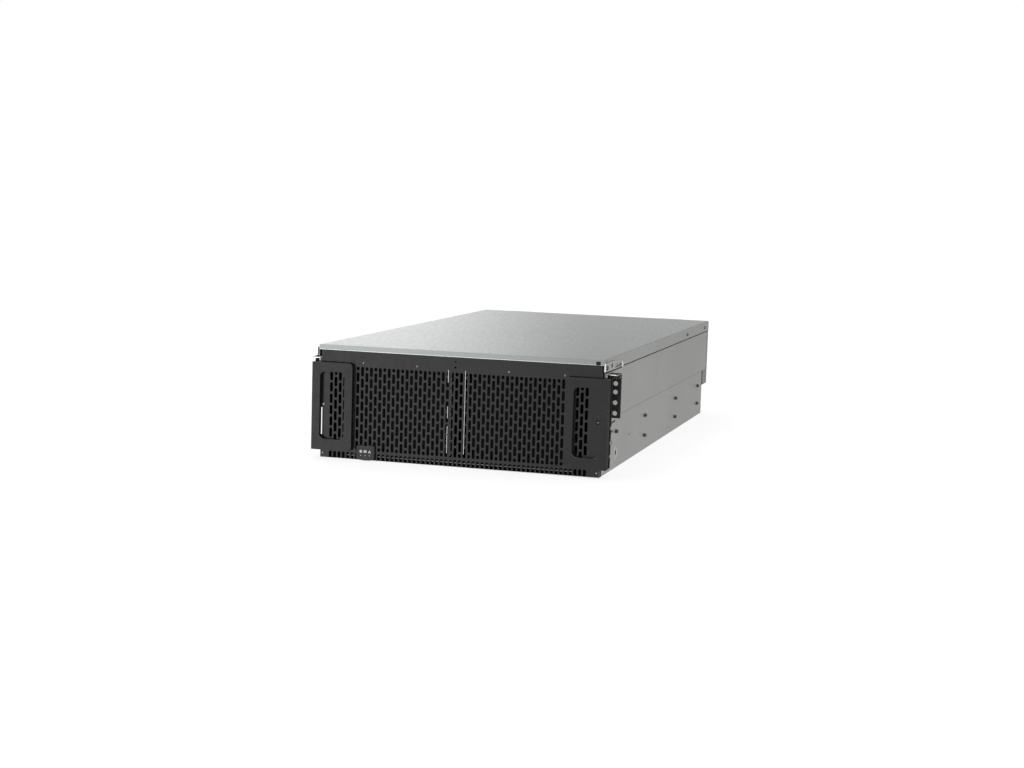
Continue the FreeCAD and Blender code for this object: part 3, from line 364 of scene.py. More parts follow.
class Form:
    """Gathers closed forms, given in millimetres, into one mesh."""

    def __init__(self):
        self.work = bmesh.new()

    def point(self, place):
        """A vertex at a place in millimetres."""
        return self.work.verts.new(at(*place))

    def skin(self, rings, closed=False):
        """Quads between rings of vertices; a ring of one vertex is a tip."""
        for first, second in zip(rings, rings[1:] + (rings[:1] if closed else [])):
            count = max(len(first), len(second))
            for step in range(count):
                after = (step + 1) % count
                near = [first[step], first[after]] if len(first) > 1 else [first[0]]
                far = [second[after], second[step]] if len(second) > 1 else [second[0]]
                self.work.faces.new(near + far)

    def capped(self, rings):
        """Quads between rings of vertices, and a flat face at both ends."""
        self.skin(rings)
        self.work.faces.new(rings[0])
        self.work.faces.new(rings[-1])

    def box(self, across, back, up):
        """A block between (low, high) pairs."""
        left, right = sorted(across)
        foot = ((left, back[0]), (right, back[0]), (right, back[1]), (left, back[1]))
        rings = [[self.point((*place, height)) for place in foot] for height in up]
        self.work.faces.new(reversed(rings[0]))
        self.work.faces.new(rings[1])
        self.skin(rings)

    def turned(self, centre, axis, profile, steps=20, ring=False):
        """(radius, along) points turned about an axis; open ends are closed flat, or join."""
        along, right, up = TURNING[axis]
        rings = []
        for radius, shift in profile:
            middle = Vector(centre) + along * shift
            if radius == 0:
                rings.append([self.point(middle)])
                continue
            places = [middle + spoke * radius for spoke in spokes(right, up, steps)]
            rings.append([self.point(place) for place in places])
        self.skin(rings, closed=ring)
        for end in (rings[0], rings[-1]):
            if len(end) > 1 and not ring:
                self.work.faces.new(end)

    def hoop(self, centre, axis, radius, wire, steps=32, around=8):
        """A ring of round wire."""
        along, right, up = TURNING[axis]
        rings = []
        for step in range(steps):
            turn = 2 * math.pi * step / steps
            out = right * math.cos(turn) + up * math.sin(turn)
            bends = [2 * math.pi * place / around for place in range(around)]
            rings.append([self.point(Vector(centre) + out * (radius + wire * math.cos(bend))
                                     + along * wire * math.sin(bend)) for bend in bends])
        self.skin(rings, closed=True)

    def rod(self, start, end, radius, around=8):
        """A straight round rod between two points."""
        start, end = Vector(start), Vector(end)
        along = (end - start).normalized()
        right = along.orthogonal().normalized()
        up = along.cross(right)
        rings = []
        for middle in (start, end):
            places = [middle + spoke * radius for spoke in spokes(right, up, around)]
            rings.append([self.point(place) for place in places])
        self.capped(rings)

    def loft(self, sections):
        """A closed skin over sections of points, flat at both ends."""
        self.capped([[self.point(place) for place in section] for section in sections])

    def prism(self, axis, outline, start, end):
        """An outline drawn across an axis and drawn out along it from start to end.

        The outline's points are (back, up) for x and (across, up) for y.
        """
        order = {"x": (2, 0, 1), "y": (0, 2, 1)}[axis]
        rings = []
        for along in (start, end):
            ring = []
            for first, second in outline:
                values = (first, second, along)
                ring.append(self.point([values[place] for place in order]))
            rings.append(ring)
        self.capped(rings)

    def mesh(self, name):
        """The finished mesh, with smooth faces between its sharp edges."""
        bmesh.ops.recalc_face_normals(self.work, faces=self.work.faces)
        data = bpy.data.meshes.new(name)
        self.work.to_mesh(data)
        self.work.free()
        data.shade_smooth()
        data.set_sharp_from_angle(angle=math.radians(40))
        return data


def new_piece(name, form, body, slot, finish=None, bevel=0.0, replaces=()):
    """Put a form into the scene on a body, with a slot's finish and softened edges."""
    mesh = form.mesh(name) if isinstance(form, Form) else form
    piece = bpy.data.objects.new(name, mesh)
    bpy.context.scene.collection.objects.link(piece)
    mesh.materials.clear()
    mesh.materials.append(FINISHES[finish or slot])
    if bevel:
        round_edges(piece, bevel)
    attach(piece, body)
    if replaces:
        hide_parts(*replaces)


def plate(name, loops, front, depth):
    """A flat plate facing forward, filled between closed loops of (across, up) points."""
    curve = bpy.data.curves.new(name, "CURVE")
    curve.dimensions = "2D"
    curve.fill_mode = "BOTH"
    curve.extrude = depth * MM / 2
    for points in loops:
        spline = curve.splines.new("POLY")
        spline.points.add(len(points) - 1)
        for place, (across, up) in enumerate(points):
            spline.points[place].co = (across * MM, up * MM, 0, 1)
        spline.use_cyclic_u = True
    holder = bpy.data.objects.new(name, curve)
    mesh = bpy.data.meshes.new_from_object(holder)
    bpy.data.objects.remove(holder)
    bpy.data.curves.remove(curve)
    upright = Matrix.Rotation(math.radians(90), 4, "X")
    mesh.transform(Matrix.Translation(at(0, front + depth / 2, 0)) @ upright)
    tidy = bmesh.new()
    tidy.from_mesh(mesh)
    bmesh.ops.remove_doubles(tidy, verts=tidy.verts, dist=0.000005)
    bmesh.ops.dissolve_limit(tidy, angle_limit=0.01, verts=tidy.verts, edges=tidy.edges)
    bmesh.ops.recalc_face_normals(tidy, faces=tidy.faces)
    tidy.to_mesh(mesh)
    tidy.free()
    return mesh


def rounded(left, right, low, high, radius):
    """Corner points of a rounded rectangle."""
    points = []
    steps = 3
    centres = ((right - radius, low + radius, -90), (right - radius, high - radius, 0),
               (left + radius, high - radius, 90), (left + radius, low + radius, 180))
    for across, up, start in centres:
        for step in range(steps + 1):
            turn = math.radians(start + 90 * step / steps)
            points.append((across + radius * math.cos(turn), up + radius * math.sin(turn)))
    return points


def circle(across, up, radius, steps=16, start=0.0):
    """Points of a circle, or of a polygon with few steps."""
    turns = [math.radians(start) + 2 * math.pi * step / steps for step in range(steps)]
    return [(across + radius * math.cos(turn), up + radius * math.sin(turn)) for turn in turns]


def screw(form, centre, axis, radius, height, steps=14):
    """A low-domed screw head with a round socket; height is signed along the axis."""
    way = math.copysign(1.0, height)
    socket = radius * 0.42
    floor = height - 0.7 * way * min(abs(height), 1.2)
    form.turned(centre, axis, [(socket, floor), (socket, height), (radius * 0.72, height),
                               (radius * 0.95, height * 0.7), (radius, 0)], steps)


def mirrored(side, low, high):
    """An across span on the given side of the middle."""
    return tuple(sorted((side * low, side * high)))


# ---------------------------------------------------------------- front

# Sizes of the front sheet, as in the model. The model has no corner radii, no round holes and no
# shift of the slot field, which was measured in the photograph.
SLOT_PITCH = 7.17
SLOT_HALF = 2.35
SLOT_CORNER = 1.9
SLOT_HEIGHT = 14.5
SLOT_RISE = 17.5
SLOT_ROWS = 7
SLOT_FIELD = (15.3, 143.4)
SLOT_BAR = 3.0
COLUMN_COUNT = 57
FIELD_SHIFT = -2.8
COMB_TOP = 11.6
COMB_CORNER = 1.6
EDGE_GAP = (36.0, 78.0)
EDGE_GAP_DEPTH = 2.2
GRILLE_SHEET = 1.5
PEEP_DROPS = (6.2, 15.2)
PEEP_RADIUS = 1.6


def slot_runs(odd):
    """(low, high) of the slots of one column."""
    low, high = SLOT_FIELD
    if odd:
        runs = [(high - SLOT_HEIGHT - SLOT_RISE * row, high - SLOT_RISE * row)
                for row in range(SLOT_ROWS)]
        return runs + [(low, runs[-1][0] - SLOT_BAR)]
    runs = [(low + SLOT_RISE * row, low + SLOT_RISE * row + SLOT_HEIGHT)
            for row in range(SLOT_ROWS)]
    return runs + [(runs[-1][1] + SLOT_BAR, high)]


def comb_notch(middle, foot):
    """Points of one round-topped notch, open at the foot."""
    left, right = middle - SLOT_HALF, middle + SLOT_HALF
    spring = COMB_TOP - COMB_CORNER
    points = [(left, foot), (left, spring)]
    for turn in (math.pi / 6, math.pi / 3, math.pi / 2):
        points.append((left + COMB_CORNER * (1 - math.cos(turn)),
                       spring + COMB_CORNER * math.sin(turn)))
    for turn in (0, math.pi / 6, math.pi / 3):
        points.append((right - COMB_CORNER * (1 - math.sin(turn)),
                       spring + COMB_CORNER * math.cos(turn)))
    return points + [(right, spring), (right, foot)]


def grille_outline(half, foot, top):
    """Edge of the front sheet: comb along the foot, a gap in each side."""
    edge = [(-half, foot)]
    for middle in slot_columns():
        edge += comb_notch(middle, foot)
    gap_low, gap_high = EDGE_GAP
    side = [(half, foot), (half, gap_low), (half - EDGE_GAP_DEPTH, gap_low),
            (half - EDGE_GAP_DEPTH, gap_high), (half, gap_high), (half, top)]
    return edge + side + [(-across, up) for across, up in reversed(side)][:-1]


def slot_columns():
    """Middles of the slot columns."""
    first = FIELD_SHIFT - SLOT_PITCH * (COLUMN_COUNT - 1) / 2
    return [first + SLOT_PITCH * place for place in range(COLUMN_COUNT)]


def front_grille():
    """The slotted front sheet with round-ended slots, and its folded side returns."""
    low, high = corners("front_grille")
    loops = [grille_outline(high.x, low.z, high.z)]
    for place, middle in enumerate(slot_columns()):
        for start, end in slot_runs(place % 2):
            loops.append(rounded(middle - SLOT_HALF, middle + SLOT_HALF, start, end, SLOT_CORNER))
    for drop in PEEP_DROPS:
        loops.append(circle(2 * FIELD_SHIFT, high.z - drop, PEEP_RADIUS))
    mesh = plate("front_grille_sheet", loops, 0.0, GRILLE_SHEET)
    new_piece("front_grille_sheet", mesh, "chassis", "bezel_black", bevel=0.22,
              replaces=("front_grille",))
    returns = Form()
    for side in (-1, 1):
        for start, end in ((low.z, EDGE_GAP[0]), (EDGE_GAP[1], high.z)):
            across = (side * (high.x - GRILLE_SHEET), side * high.x)
            returns.box(across, (GRILLE_SHEET, high.y), (start, end))
    new_piece("front_grille_returns", returns, "chassis", "bezel_black", "gasket_black", bevel=0.2)


BAND_SCREWS = (-152, -66, 78, 164)
BAND_SCREW_HEIGHT = 149.3
GRIP_SCREW_HEIGHT = 83
FOOT_SCREW_HEIGHT = 8
SCREW_INSET = 2.4


def front_screws():
    """Small screws over the slots, the screws inside the grips and at the lower corners."""
    low, high = corners("front_screws")
    left, right = low.x + SCREW_INSET, high.x - SCREW_INSET
    heads = Form()
    for across in BAND_SCREWS:
        screw(heads, (across, 0, BAND_SCREW_HEIGHT), "y", 1.5, -1.1)
    for across, grip_radius in ((left, 2.3), (right, 1.5)):
        screw(heads, (across, 0, GRIP_SCREW_HEIGHT), "y", grip_radius, -1.6)
        screw(heads, (across, 0, FOOT_SCREW_HEIGHT), "y", 1.6, -1.1)
    # Dark ring round the right grip screw: painted shade.
    recess_shade = Form()
    recess_shade.turned((right, 0, GRIP_SCREW_HEIGHT), "y",
                  [(3.6, 0.1), (3.6, -0.5), (1.7, -0.5), (1.7, 0.1)], 20, ring=True)
    new_piece("grip_screw_recess_shade", recess_shade, "chassis", "handle_black", "gasket_black")
    new_piece("front_screw_heads", heads, "chassis", "bright_zinc", "screw_zinc",
              replaces=("front_screws",))


STATUS_PLACES = (-152, -145, -138)
SYMBOL_HEIGHT = 14.8
DOT_HEIGHT = 8.6


def status_lights():
    """Three plain light symbols on the status panel, each with a round light under it."""
    face = corners("status_panel")[0].y
    left, middle, right = STATUS_PLACES
    bar = rounded(middle - 2.4, middle + 2.4, SYMBOL_HEIGHT - 1.9, SYMBOL_HEIGHT + 1.9, 0.7)
    peak = circle(right, SYMBOL_HEIGHT - 0.6, 2.9, 3, 90)
    disc = circle(left, SYMBOL_HEIGHT, 2.3)
    symbols = Form()
    for outline in (bar, peak, disc):
        symbols.prism("y", outline, face - 0.25, face)
    for across in STATUS_PLACES:
        symbols.turned((across, face, DOT_HEIGHT), "y", [(0, -0.45), (0.55, -0.35), (0.8, 0)], 12)
    new_piece("status_symbols", symbols, "chassis", "light_window", replaces=("status_lights",))
    lip = Form()
    turns = [math.radians(180 + 15 * step) for step in range(13)]
    bow = [(middle + 14.2 * math.cos(turn), face + 0.2, 4.6 + 3.2 * math.sin(turn))
           for turn in turns]
    for start, end in zip(bow, bow[1:]):
        lip.rod(start, end, 0.5, 6)
    new_piece("status_panel_lip", lip, "chassis", "bezel_black", "handle_black")


SHADOW_SEAT_DEPTH = 0.5
SKIRT_SHEET = 1.3
SKIRT_GAPS = (32, 52, 74)


def handle_seat_shadows():
    """Dark strips on the grille by the handles' inner and upper edges, painted shadow; the
    handles' deep outer skirts and the dark outer sides.
    """
    seat_shadows, skirts, sides = Form(), Form(), Form()
    for name, side in SIDES:
        low, high = corners("handle_" + name)
        inner, outer = sorted((abs(low.x), abs(high.x)))
        depth = (-SHADOW_SEAT_DEPTH, 0)
        # Dark strips on the grille beside the inner and upper edges: painted shadow.
        seat_shadows.box(mirrored(side, inner - 1.6, inner + 1), depth, (low.z + 4, high.z - 4))
        seat_shadows.box(mirrored(side, inner + 4, 219), depth, (high.z - 1, high.z + 1))
        across = mirrored(side, outer - 0.1 - SKIRT_SHEET, outer - 0.1)
        foot, top = low.z + 1, high.z - 1
        ends = [foot] + [gap + step for gap in SKIRT_GAPS for step in (-2, 2)] + [top]
        for start, end in zip(ends[::2], ends[1::2]):
            skirts.box(across, (5, 17), (start, end))
        skirts.box(across, (5, 12), (foot, top))
        sides.box(mirrored(side, outer - 0.2, outer + 0.2), (low.y + 1.2, high.y), (foot, top))
    for name, form in (("seat_shadows", seat_shadows), ("skirts", skirts), ("sides", sides)):
        new_piece("handle_" + name, form, "chassis", "handle_black", "gasket_black")


GRIP_SPAN = (179.4, 219.4)
GRIP_FOOT = 30.0
RIM_RADIUS = 0.55


def handle_rims():
    """Rounded rims of the handles at the upper edge and the foot of the grip, in a lighter copy of
    the handle paint: painted highlight.
    """
    rims = Form()
    inner, outer = GRIP_SPAN
    for name, side in SIDES:
        low, high = corners("handle_" + name)
        near, far = sorted((abs(low.x), abs(high.x)))
        front = low.y + RIM_RADIUS
        top = [(near + 6 - 5 * math.sin(turn), high.z - 5.6 + 5 * math.cos(turn))
               for turn in (1.2, 0.8, 0.4, 0)]
        top.append((far - 1, high.z - 0.6))
        bow = [math.radians(degrees) for degrees in (210, 230, 250, 270)]
        rim = [(inner + 8.5 + 9 * math.cos(turn), GRIP_FOOT + 8.5 + 9 * math.sin(turn))
               for turn in bow]
        rim += [(inner + outer - across, up) for across, up in reversed(rim)]
        for path in (top, rim):
            points = [(side * across, front, up) for across, up in path]
            for start, end in zip(points, points[1:]):
                rims.rod(start, end, RIM_RADIUS)
    new_piece("handle_rims", rims, "chassis", "handle_black", "handle_highlight_paint")


BRACKET_INNER = 225.2
EDGE_WIRE = 0.75


def ear_blocks():
    """Dark blocks under the ear brackets as painted shadow, dark pads on them, and their front
    edges in a much lighter steel as painted highlight.
    """
    low, high = corners("ear_brackets")
    blocks, edges = Form(), Form()
    for side in (-1, 1):
        # Dark block under each bracket: painted shadow.
        blocks.box(mirrored(side, 226.4, 233.6), (7.5, 33), (146, 152.2))
        blocks.box(mirrored(side, 229, high.x - 0.5), (low.y + 5, high.y - 0.5),
                   (high.z - 0.1, high.z + 0.15))
        # Front edges in a much lighter steel: painted highlight.
        corner = (side * BRACKET_INNER, low.y, high.z - 0.5)
        edges.rod(corner, (side * 239, low.y, high.z - 0.5), EDGE_WIRE)
        edges.rod(corner, (side * BRACKET_INNER, low.y, high.z - 7), EDGE_WIRE)
    new_piece("ear_blocks", blocks, "chassis", "handle_black", "gasket_black")
    new_piece("ear_bracket_edges", edges, "chassis", "bright_zinc", "highlight_steel")


# Channel walls at both sides of the middle, with the heights where their edges show; there bright
# lines stand for them as painted highlight.
CHANNEL_EDGES = ((-13.35, ((21, 48), (50, 62), (74, 92), (128, 147))),
                 (13.35, ((21, 147),)))
LINE_HALF = 0.35


def channel_edge_highlights():
    """Front edges of the two channel walls as bright lines drawn on the front sheet: painted
    highlight.
    """
    edges = Form()
    for across, runs in CHANNEL_EDGES:
        middle = across + FIELD_SHIFT
        for run in runs:
            edges.box((middle - LINE_HALF, middle + LINE_HALF), (-0.3, 0.05), run)
    new_piece("channel_edge_highlights", edges, "chassis", "bright_zinc")


# ---------------------------------------------------------------- sides

LOWER_FACE = 218.8
UPPER_FACE = 220.0
SIDE_SHEET = 1.25
RAIL_BACKS = (109, 319, 577, 791)
RAIL_HEIGHTS = (23.5, 56.5)
RAIL_HOLES = [(back, up) for back in RAIL_BACKS for up in RAIL_HEIGHTS]
RINGED_HOLE = RAIL_HOLES[0]
BUTTON = (86, 42.5)
UPPER_WELDS = ((186, 137), (292, 133), (431, 135))
LOWER_WELD = (697, 40)
# Lanced openings by the hooks, drawn as dark plates: painted shade.
SLITS = (((76, 100), (73.4, 75.2)), ((73, 86), (59.4, 61)), ((201, 209), (39.3, 40.7)))
# Run and heights of the dark strip under the lap: painted shadow.
LAP_SHADOW_RUN = (14.5, 836.5)
LAP_SHADOW_HEIGHTS = (81.0, 81.9)


def rail_screws():
    """Shoulder screws in the rail holes, and the button by the lower hook."""
    shafts = Form()
    for side in (-1, 1):
        face = side * corners("base_pan")[1].x
        profile = [(radius, side * out) for radius, out in
                   ((1.3, 2.6), (1.3, 3.7), (2.3, 3.7), (3.0, 3.1), (3.0, 2.4), (2.6, 2.2),
                    (2.6, -1.0))]
        for hole in RAIL_HOLES:
            if hole != RINGED_HOLE:
                shafts.turned((face, *hole), "x", profile, 18)
        shafts.turned((face, *BUTTON), "x", [(0, side * 1.3), (2.0, side * 1.2), (3.4, 0)], 18)
    new_piece("rail_shoulder_screws", shafts, "chassis", "screw_dark")


def clinch_nuts():
    """Nuts pressed in behind the rail holes, all in black: painted shade inside the holes."""
    nuts = Form()
    for side in (-1, 1):
        inside = side * (corners("base_pan")[1].x - SIDE_SHEET)
        profile = [(radius, side * out) for radius, out in
                   ((0, -2.8), (2.3, -2.8), (2.3, 0), (4.8, 0), (4.8, -3.2), (0, -3.2))]
        for hole in RAIL_HOLES:
            nuts.turned((inside, *hole), "x", profile, 16)
    new_piece("rail_clinch_nuts", nuts, "chassis", "screw_dark", "gasket_black")


def side_marks():
    """Pressed ring and spot welds, and dark sheets as painted shade: rims of the rail holes, the
    lanced openings by the hooks and the shadow under the lap.
    """
    marks, hole_shade, lap_shadow = Form(), Form(), Form()
    for side in (-1, 1):
        lower, upper = side * LOWER_FACE, side * UPPER_FACE
        skin = side * 0.12
        ring = [(radius, side * out) for radius, out in
                ((7.6, 0), (8.2, 0.6), (9.2, 0.6), (9.8, 0), (9.8, -0.2), (7.6, -0.2))]
        marks.turned((lower, *RINGED_HOLE), "x", ring, 32, ring=True)
        weld = [(0, skin), (2.0, side * 0.1), (2.6, 0)]
        for place in UPPER_WELDS:
            marks.turned((upper, *place), "x", weld, 16)
        marks.turned((lower, *LOWER_WELD), "x", weld, 16)
        # Dark plates where the lanced openings are: painted shade.
        for back, up in SLITS:
            hole_shade.box((lower, lower + skin), back, up)
        # Dark rims round the rail holes: painted shade.
        rim = [(2.9, 0), (2.9, skin), (3.6, skin), (3.6, 0)]
        for hole in RAIL_HOLES:
            hole_shade.turned((lower, *hole), "x", rim, 20, ring=True)
        # Dark strip under the lap of the upper wall: painted shadow.
        lap_shadow.box((lower, lower + side * 0.5), LAP_SHADOW_RUN, LAP_SHADOW_HEIGHTS)
    new_piece("side_pressings", marks, "chassis", "zinc_steel")
    new_piece("side_hole_shade", hole_shade, "chassis", "zinc_steel", "gasket_black")
    new_piece("side_lap_shadow", lap_shadow, "chassis", "zinc_steel", "shaded_inner_steel")


# ---------------------------------------------------------------- lid

HEM_HEIGHT = 167.8
HEM_RADIUS = 1.15
# Height of the dark strips under the lid's flanges: painted shadow.
SEAM_SHADOW_HEIGHT = 2.0
LATCH_PIVOT = (1, 164)
FLANGE_SCREWS = ((642.5, 165), (816.8, 165))


def lid_front():
    """Rolled hem along the front of the lid, and a skin over the lip in a darker copy of the lid
    steel: painted shade.
    """
    low, high = corners("lid")
    inner = high.x - 1.2
    hem = Form()
    hem.turned((0, -2.2, HEM_HEIGHT), "x", [(HEM_RADIUS, -inner), (HEM_RADIUS, inner - 9)], 16)
    new_piece("lid_hem", hem, "lid", "lid_steel")
    lip = Form()
    lip.box((-inner, inner), (low.y - 0.05, low.y + 0.35), (HEM_HEIGHT + 0.9, high.z - 0.05))
    new_piece("lid_lip", lip, "lid", "lid_steel", "lip_steel_shaded")


def latch_trim(name, side):
    """Rolled edge of a latch's finger loop in a much lighter steel, painted highlight, and a dark
    line across the latch where the lid's flange casts its shadow, painted shadow.
    """
    foot = corners("lid")[0].z
    latch = "lid_latch_" + name
    low, high = corners(latch)
    outer = max(abs(low.x), abs(high.x))
    path = [(52, high.z - 0.8), (high.y - 5, 165.6), (high.y - 1.2, 162), (high.y - 1.2, 156.5),
            (high.y - 6, foot + 1.2), (40, foot + 1.2)]
    loop = Form()
    for start, end in zip(path, path[1:]):
        loop.rod((side * outer, *start), (side * outer, *end), 0.9)
    new_piece(latch + "_loop", loop, latch, "bright_zinc", "highlight_steel")
    seam_shadow = Form()
    seam_shadow.box(mirrored(side, outer - 0.1, outer + 0.1), (low.y + 1, high.y - 1),
             (foot - SEAM_SHADOW_HEIGHT, foot + 0.1))
    new_piece(latch + "_seam", seam_shadow, latch, "bright_zinc", "gasket_black")


def lid_sides():
    """Dark block in the notch by the right latch as painted shade, flange faces, and dark strips
    under the flanges as painted shadow.
    """
    low, high = corners("lid")
    notch_shade, skins = Form(), Form()
    # Dark block in the notch by the right latch: painted shade.
    notch_shade.box((211, 217.5), (low.y - 0.4, low.y + 3), (167.5, high.z - 2.2))
    for name, side in SIDES:
        skins.box(mirrored(side, high.x - 0.1, high.x + 0.1), (14, high.y - 0.5),
                  (low.z + 0.3, high.z - 0.9))
        latch_trim(name, side)
    new_piece("lid_corner_notch_shade", notch_shade, "lid", "lid_steel", "gasket_black")
    new_piece("lid_flange_skins", skins, "lid", "lid_steel", "zinc_steel")
    # Dark strips under the lid's flanges: painted shadow.
    flange_shadows = Form()
    for side in (-1, 1):
        flange_shadows.box((side * (UPPER_FACE + 0.1), side * (UPPER_FACE + 3.4)), (3, high.y - 2),
                  (low.z - SEAM_SHADOW_HEIGHT, low.z + 0.4))
    new_piece("lid_flange_shadows", flange_shadows, "chassis", "zinc_steel", "gasket_black")


def lid_screws():
    """Flange screws of the lid and the pivots of the latches."""
    face = corners("lid")[1].x
    heads = Form()
    for side in (-1, 1):
        for place in FLANGE_SCREWS:
            screw(heads, (side * face, *place), "x", 3.4, side * 1.3, 18)
        screw(heads, (side * (face + 2.6), *LATCH_PIVOT), "x", 4.0, side * 1.7, 18)
        heads.turned((side * face, *LATCH_PIVOT), "x", [(2.15, 0), (2.15, side * 2.9)], 16)
    new_piece("lid_screw_heads", heads, "lid", "screw_dark", replaces=("lid_rivets",))


# ---------------------------------------------------------------- drives

DRIVE_PITCH = 27.1
DRIVE_WIDTH = 26.1
DRIVES_PER_SIDE = 6
RAIL_SHEET = 1.1
CAP = 2.4
# Outline of the carrier's lever, back from the drive's front face and up from its top.
LEVER = ((5, 2.4), (5, 4.4), (8, 5.9), (62, 5.9), (70, 4.2), (78, 2.4), (34, 2.4), (31, 4.3),
         (12, 4.3), (10, 2.4))


def drive_lefts():
    """Left faces of the twelve drives of a row."""
    outer = corners("drive_row_1")[1].x
    rights = [outer - DRIVE_WIDTH - DRIVE_PITCH * place for place in range(DRIVES_PER_SIDE)]
    return [-left - DRIVE_WIDTH for left in rights] + rights


def drive_carrier(form, left, front, rear, top):
    """Lift-out carrier of one drive: rails on both narrow faces, cap and lever."""
    right, roof = left + DRIVE_WIDTH, top + CAP
    for face in (front - 0.15 - RAIL_SHEET, rear + 0.15):
        form.box((left + 0.2, right - 0.2), (face, face + RAIL_SHEET), (11, top + 1))
    form.box((left + 0.5, right - 0.5), (front + 1.2, rear - 1.2), (top + 0.1, roof))
    form.prism("x", [(front + back, top + up) for back, up in LEVER], left + 5, right - 5)
    for back in (front + 84, front + 88, front + 92):
        form.box((left + 4, right - 10), (back, back + 1.6), (roof, top + 3.3))
    for across in ((left + 2, left + 3.2), (right - 3.2, right - 2)):
        form.box(across, (front + 3, rear - 3), (roof, top + 3.6))


def drive_carriers():
    """Carriers of all sixty drives, with a light window on each cap."""
    for zone, rows in (("front", DRIVE_ROWS[:2]), ("rear", DRIVE_ROWS[2:])):
        carriers, lights = Form(), Form()
        for row in rows:
            low, high = corners("drive_row_%d" % row)
            window = (low.y + 86, low.y + 90), (high.z + CAP, high.z + 3.1)
            for left in drive_lefts():
                drive_carrier(carriers, left, low.y, high.y, high.z)
                lights.box((left + 18.5, left + 21.5), *window)
        new_piece("drive_carrier_set_" + zone, carriers, "chassis", "carrier_plastic",
                  replaces=("drive_carriers_" + zone,))
        new_piece("drive_lights_" + zone, lights, "chassis", "light_window", "light_green")


# ---------------------------------------------------------------- fans

BLADE_COUNT = 7
BLADE_STEPS = 6
BLADE_POINTS = 16
BLADE_SWEEP = 0.28
HUB_RADIUS, TIP_RADIUS = 16.5, 39.9
GUARD_RINGS = (10.0, 18.5, 27.0, 35.5, 43.0)
GUARD_WIRE = 0.65
GUARD_SCREW_RADIUS = 50


def fan_axis(bay):
    """Middle of a fan's air opening."""
    low, high = corners("fan_rotor_%d" % bay)
    return (low.x + high.x) / 2, (low.z + high.z) / 2


def blade_sections(turn, centre):
    """Closed aerofoil sections of one twisted and cambered blade, from the hub to the tip."""
    across, back, up = centre
    sections = []
    for step in range(BLADE_STEPS + 1):
        share = step / BLADE_STEPS
        radius = HUB_RADIUS + (TIP_RADIUS - HUB_RADIUS) * share
        # The blade grows wider and flatter towards its tip.
        chord = 19 + 5 * share
        lean = math.radians(38 + 14 * share)
        section = []
        for place in range(BLADE_POINTS):
            around = 2 * math.pi * place / BLADE_POINTS
            along = 0.5 * math.cos(around)
            bow = (0.25 - along * along) * 7 + 0.55 * math.sin(around)
            aside = along * chord * math.sin(lean) + bow * math.cos(lean)
            depth = along * chord * math.cos(lean) - bow * math.sin(lean)
            angle = turn + BLADE_SWEEP * share * share + aside / radius
            section.append((across + radius * math.sin(angle), back + depth,
                            up + radius * math.cos(angle)))
        sections.append(section)
    return sections


def fan_rotor(bay):
    """Rotor of one fan: domed hub and curved blades."""
    node = "fan_rotor_%d" % bay
    low, high = corners(node)
    across, up = fan_axis(bay)
    depth = high.y - low.y
    form = Form()
    form.turned((across, low.y, up), "y",
                [(0, 0.8), (9, 0.8), (10, 1.6), (15.2, 1.6), (16.6, 3), (17, 6), (17, depth - 1.5),
                 (16, depth - 0.3), (12, depth - 0.3), (11, depth - 1), (0, depth - 1)], 36)
    centre = (across, (low.y + high.y) / 2, up)
    for place in range(BLADE_COUNT):
        form.loft(blade_sections(2 * math.pi * place / BLADE_COUNT, centre))
    new_piece("fan_blades_%d" % bay, form, node, "rotor_plastic", replaces=(node,))


def fan_details(bay):
    """Wire guard behind a fan, its screws, and the light of the module."""
    module = "fan_module_%d" % bay
    across, up = fan_axis(bay)
    rear = corners("fan_housing_%d" % bay)[1].y
    wire = GUARD_WIRE
    guard, screws = Form(), Form()
    for radius in GUARD_RINGS:
        guard.hoop((across, rear + 2 * wire, up), "y", radius, wire, 40)
    for place in range(4):
        turn = math.radians(45 + 90 * place)
        out = Vector((math.cos(turn), 0, math.sin(turn)))
        centre = Vector((across, rear + 0.8 * wire, up))
        guard.rod(centre + out * GUARD_RINGS[0], centre + out * (GUARD_SCREW_RADIUS - 2.5), wire)
        foot = centre + out * GUARD_SCREW_RADIUS
        foot.y = rear
        guard.hoop((foot.x, rear + wire, foot.z), "y", 2.4, wire, 14, 6)
        screw(screws, foot, "y", 2.6, 2.2)
    new_piece("fan_guard_%d" % bay, guard, module, "bright_zinc", "screw_zinc")
    new_piece("fan_guard_screws_%d" % bay, screws, module, "screw_dark")
    light = Form()
    left = corners("fan_latch_%d" % bay)[0].x
    light.turned((left + 4.5, rear, 143), "y", [(1.5, 0), (1.5, 0.6), (1.0, 1.0), (0, 1.1)], 14)
    new_piece("fan_light_%d" % bay, light, module, "light_window", "light_green")


# ---------------------------------------------------------------- rear modules

REAR = corners("rear_guards")[0].y
INLET_SPAN = (178.1, 205.1)
INLET_DEPTH = 12
AIR_GRILLE = (142.1, 29)
AIR_RINGS = (11.5, 15.2, 18.6)
POWER_LIGHT = (210, 48)
POWER_SCREWS = ((117, 6), (212.5, 6), (117, 51))
PORT_PITCH = 22
PORT_WALL = 0.5
PORT_DEPTH = 11.9
IO_SCREWS = ((5, 50), (106, 50), (5, 6), (106, 6))


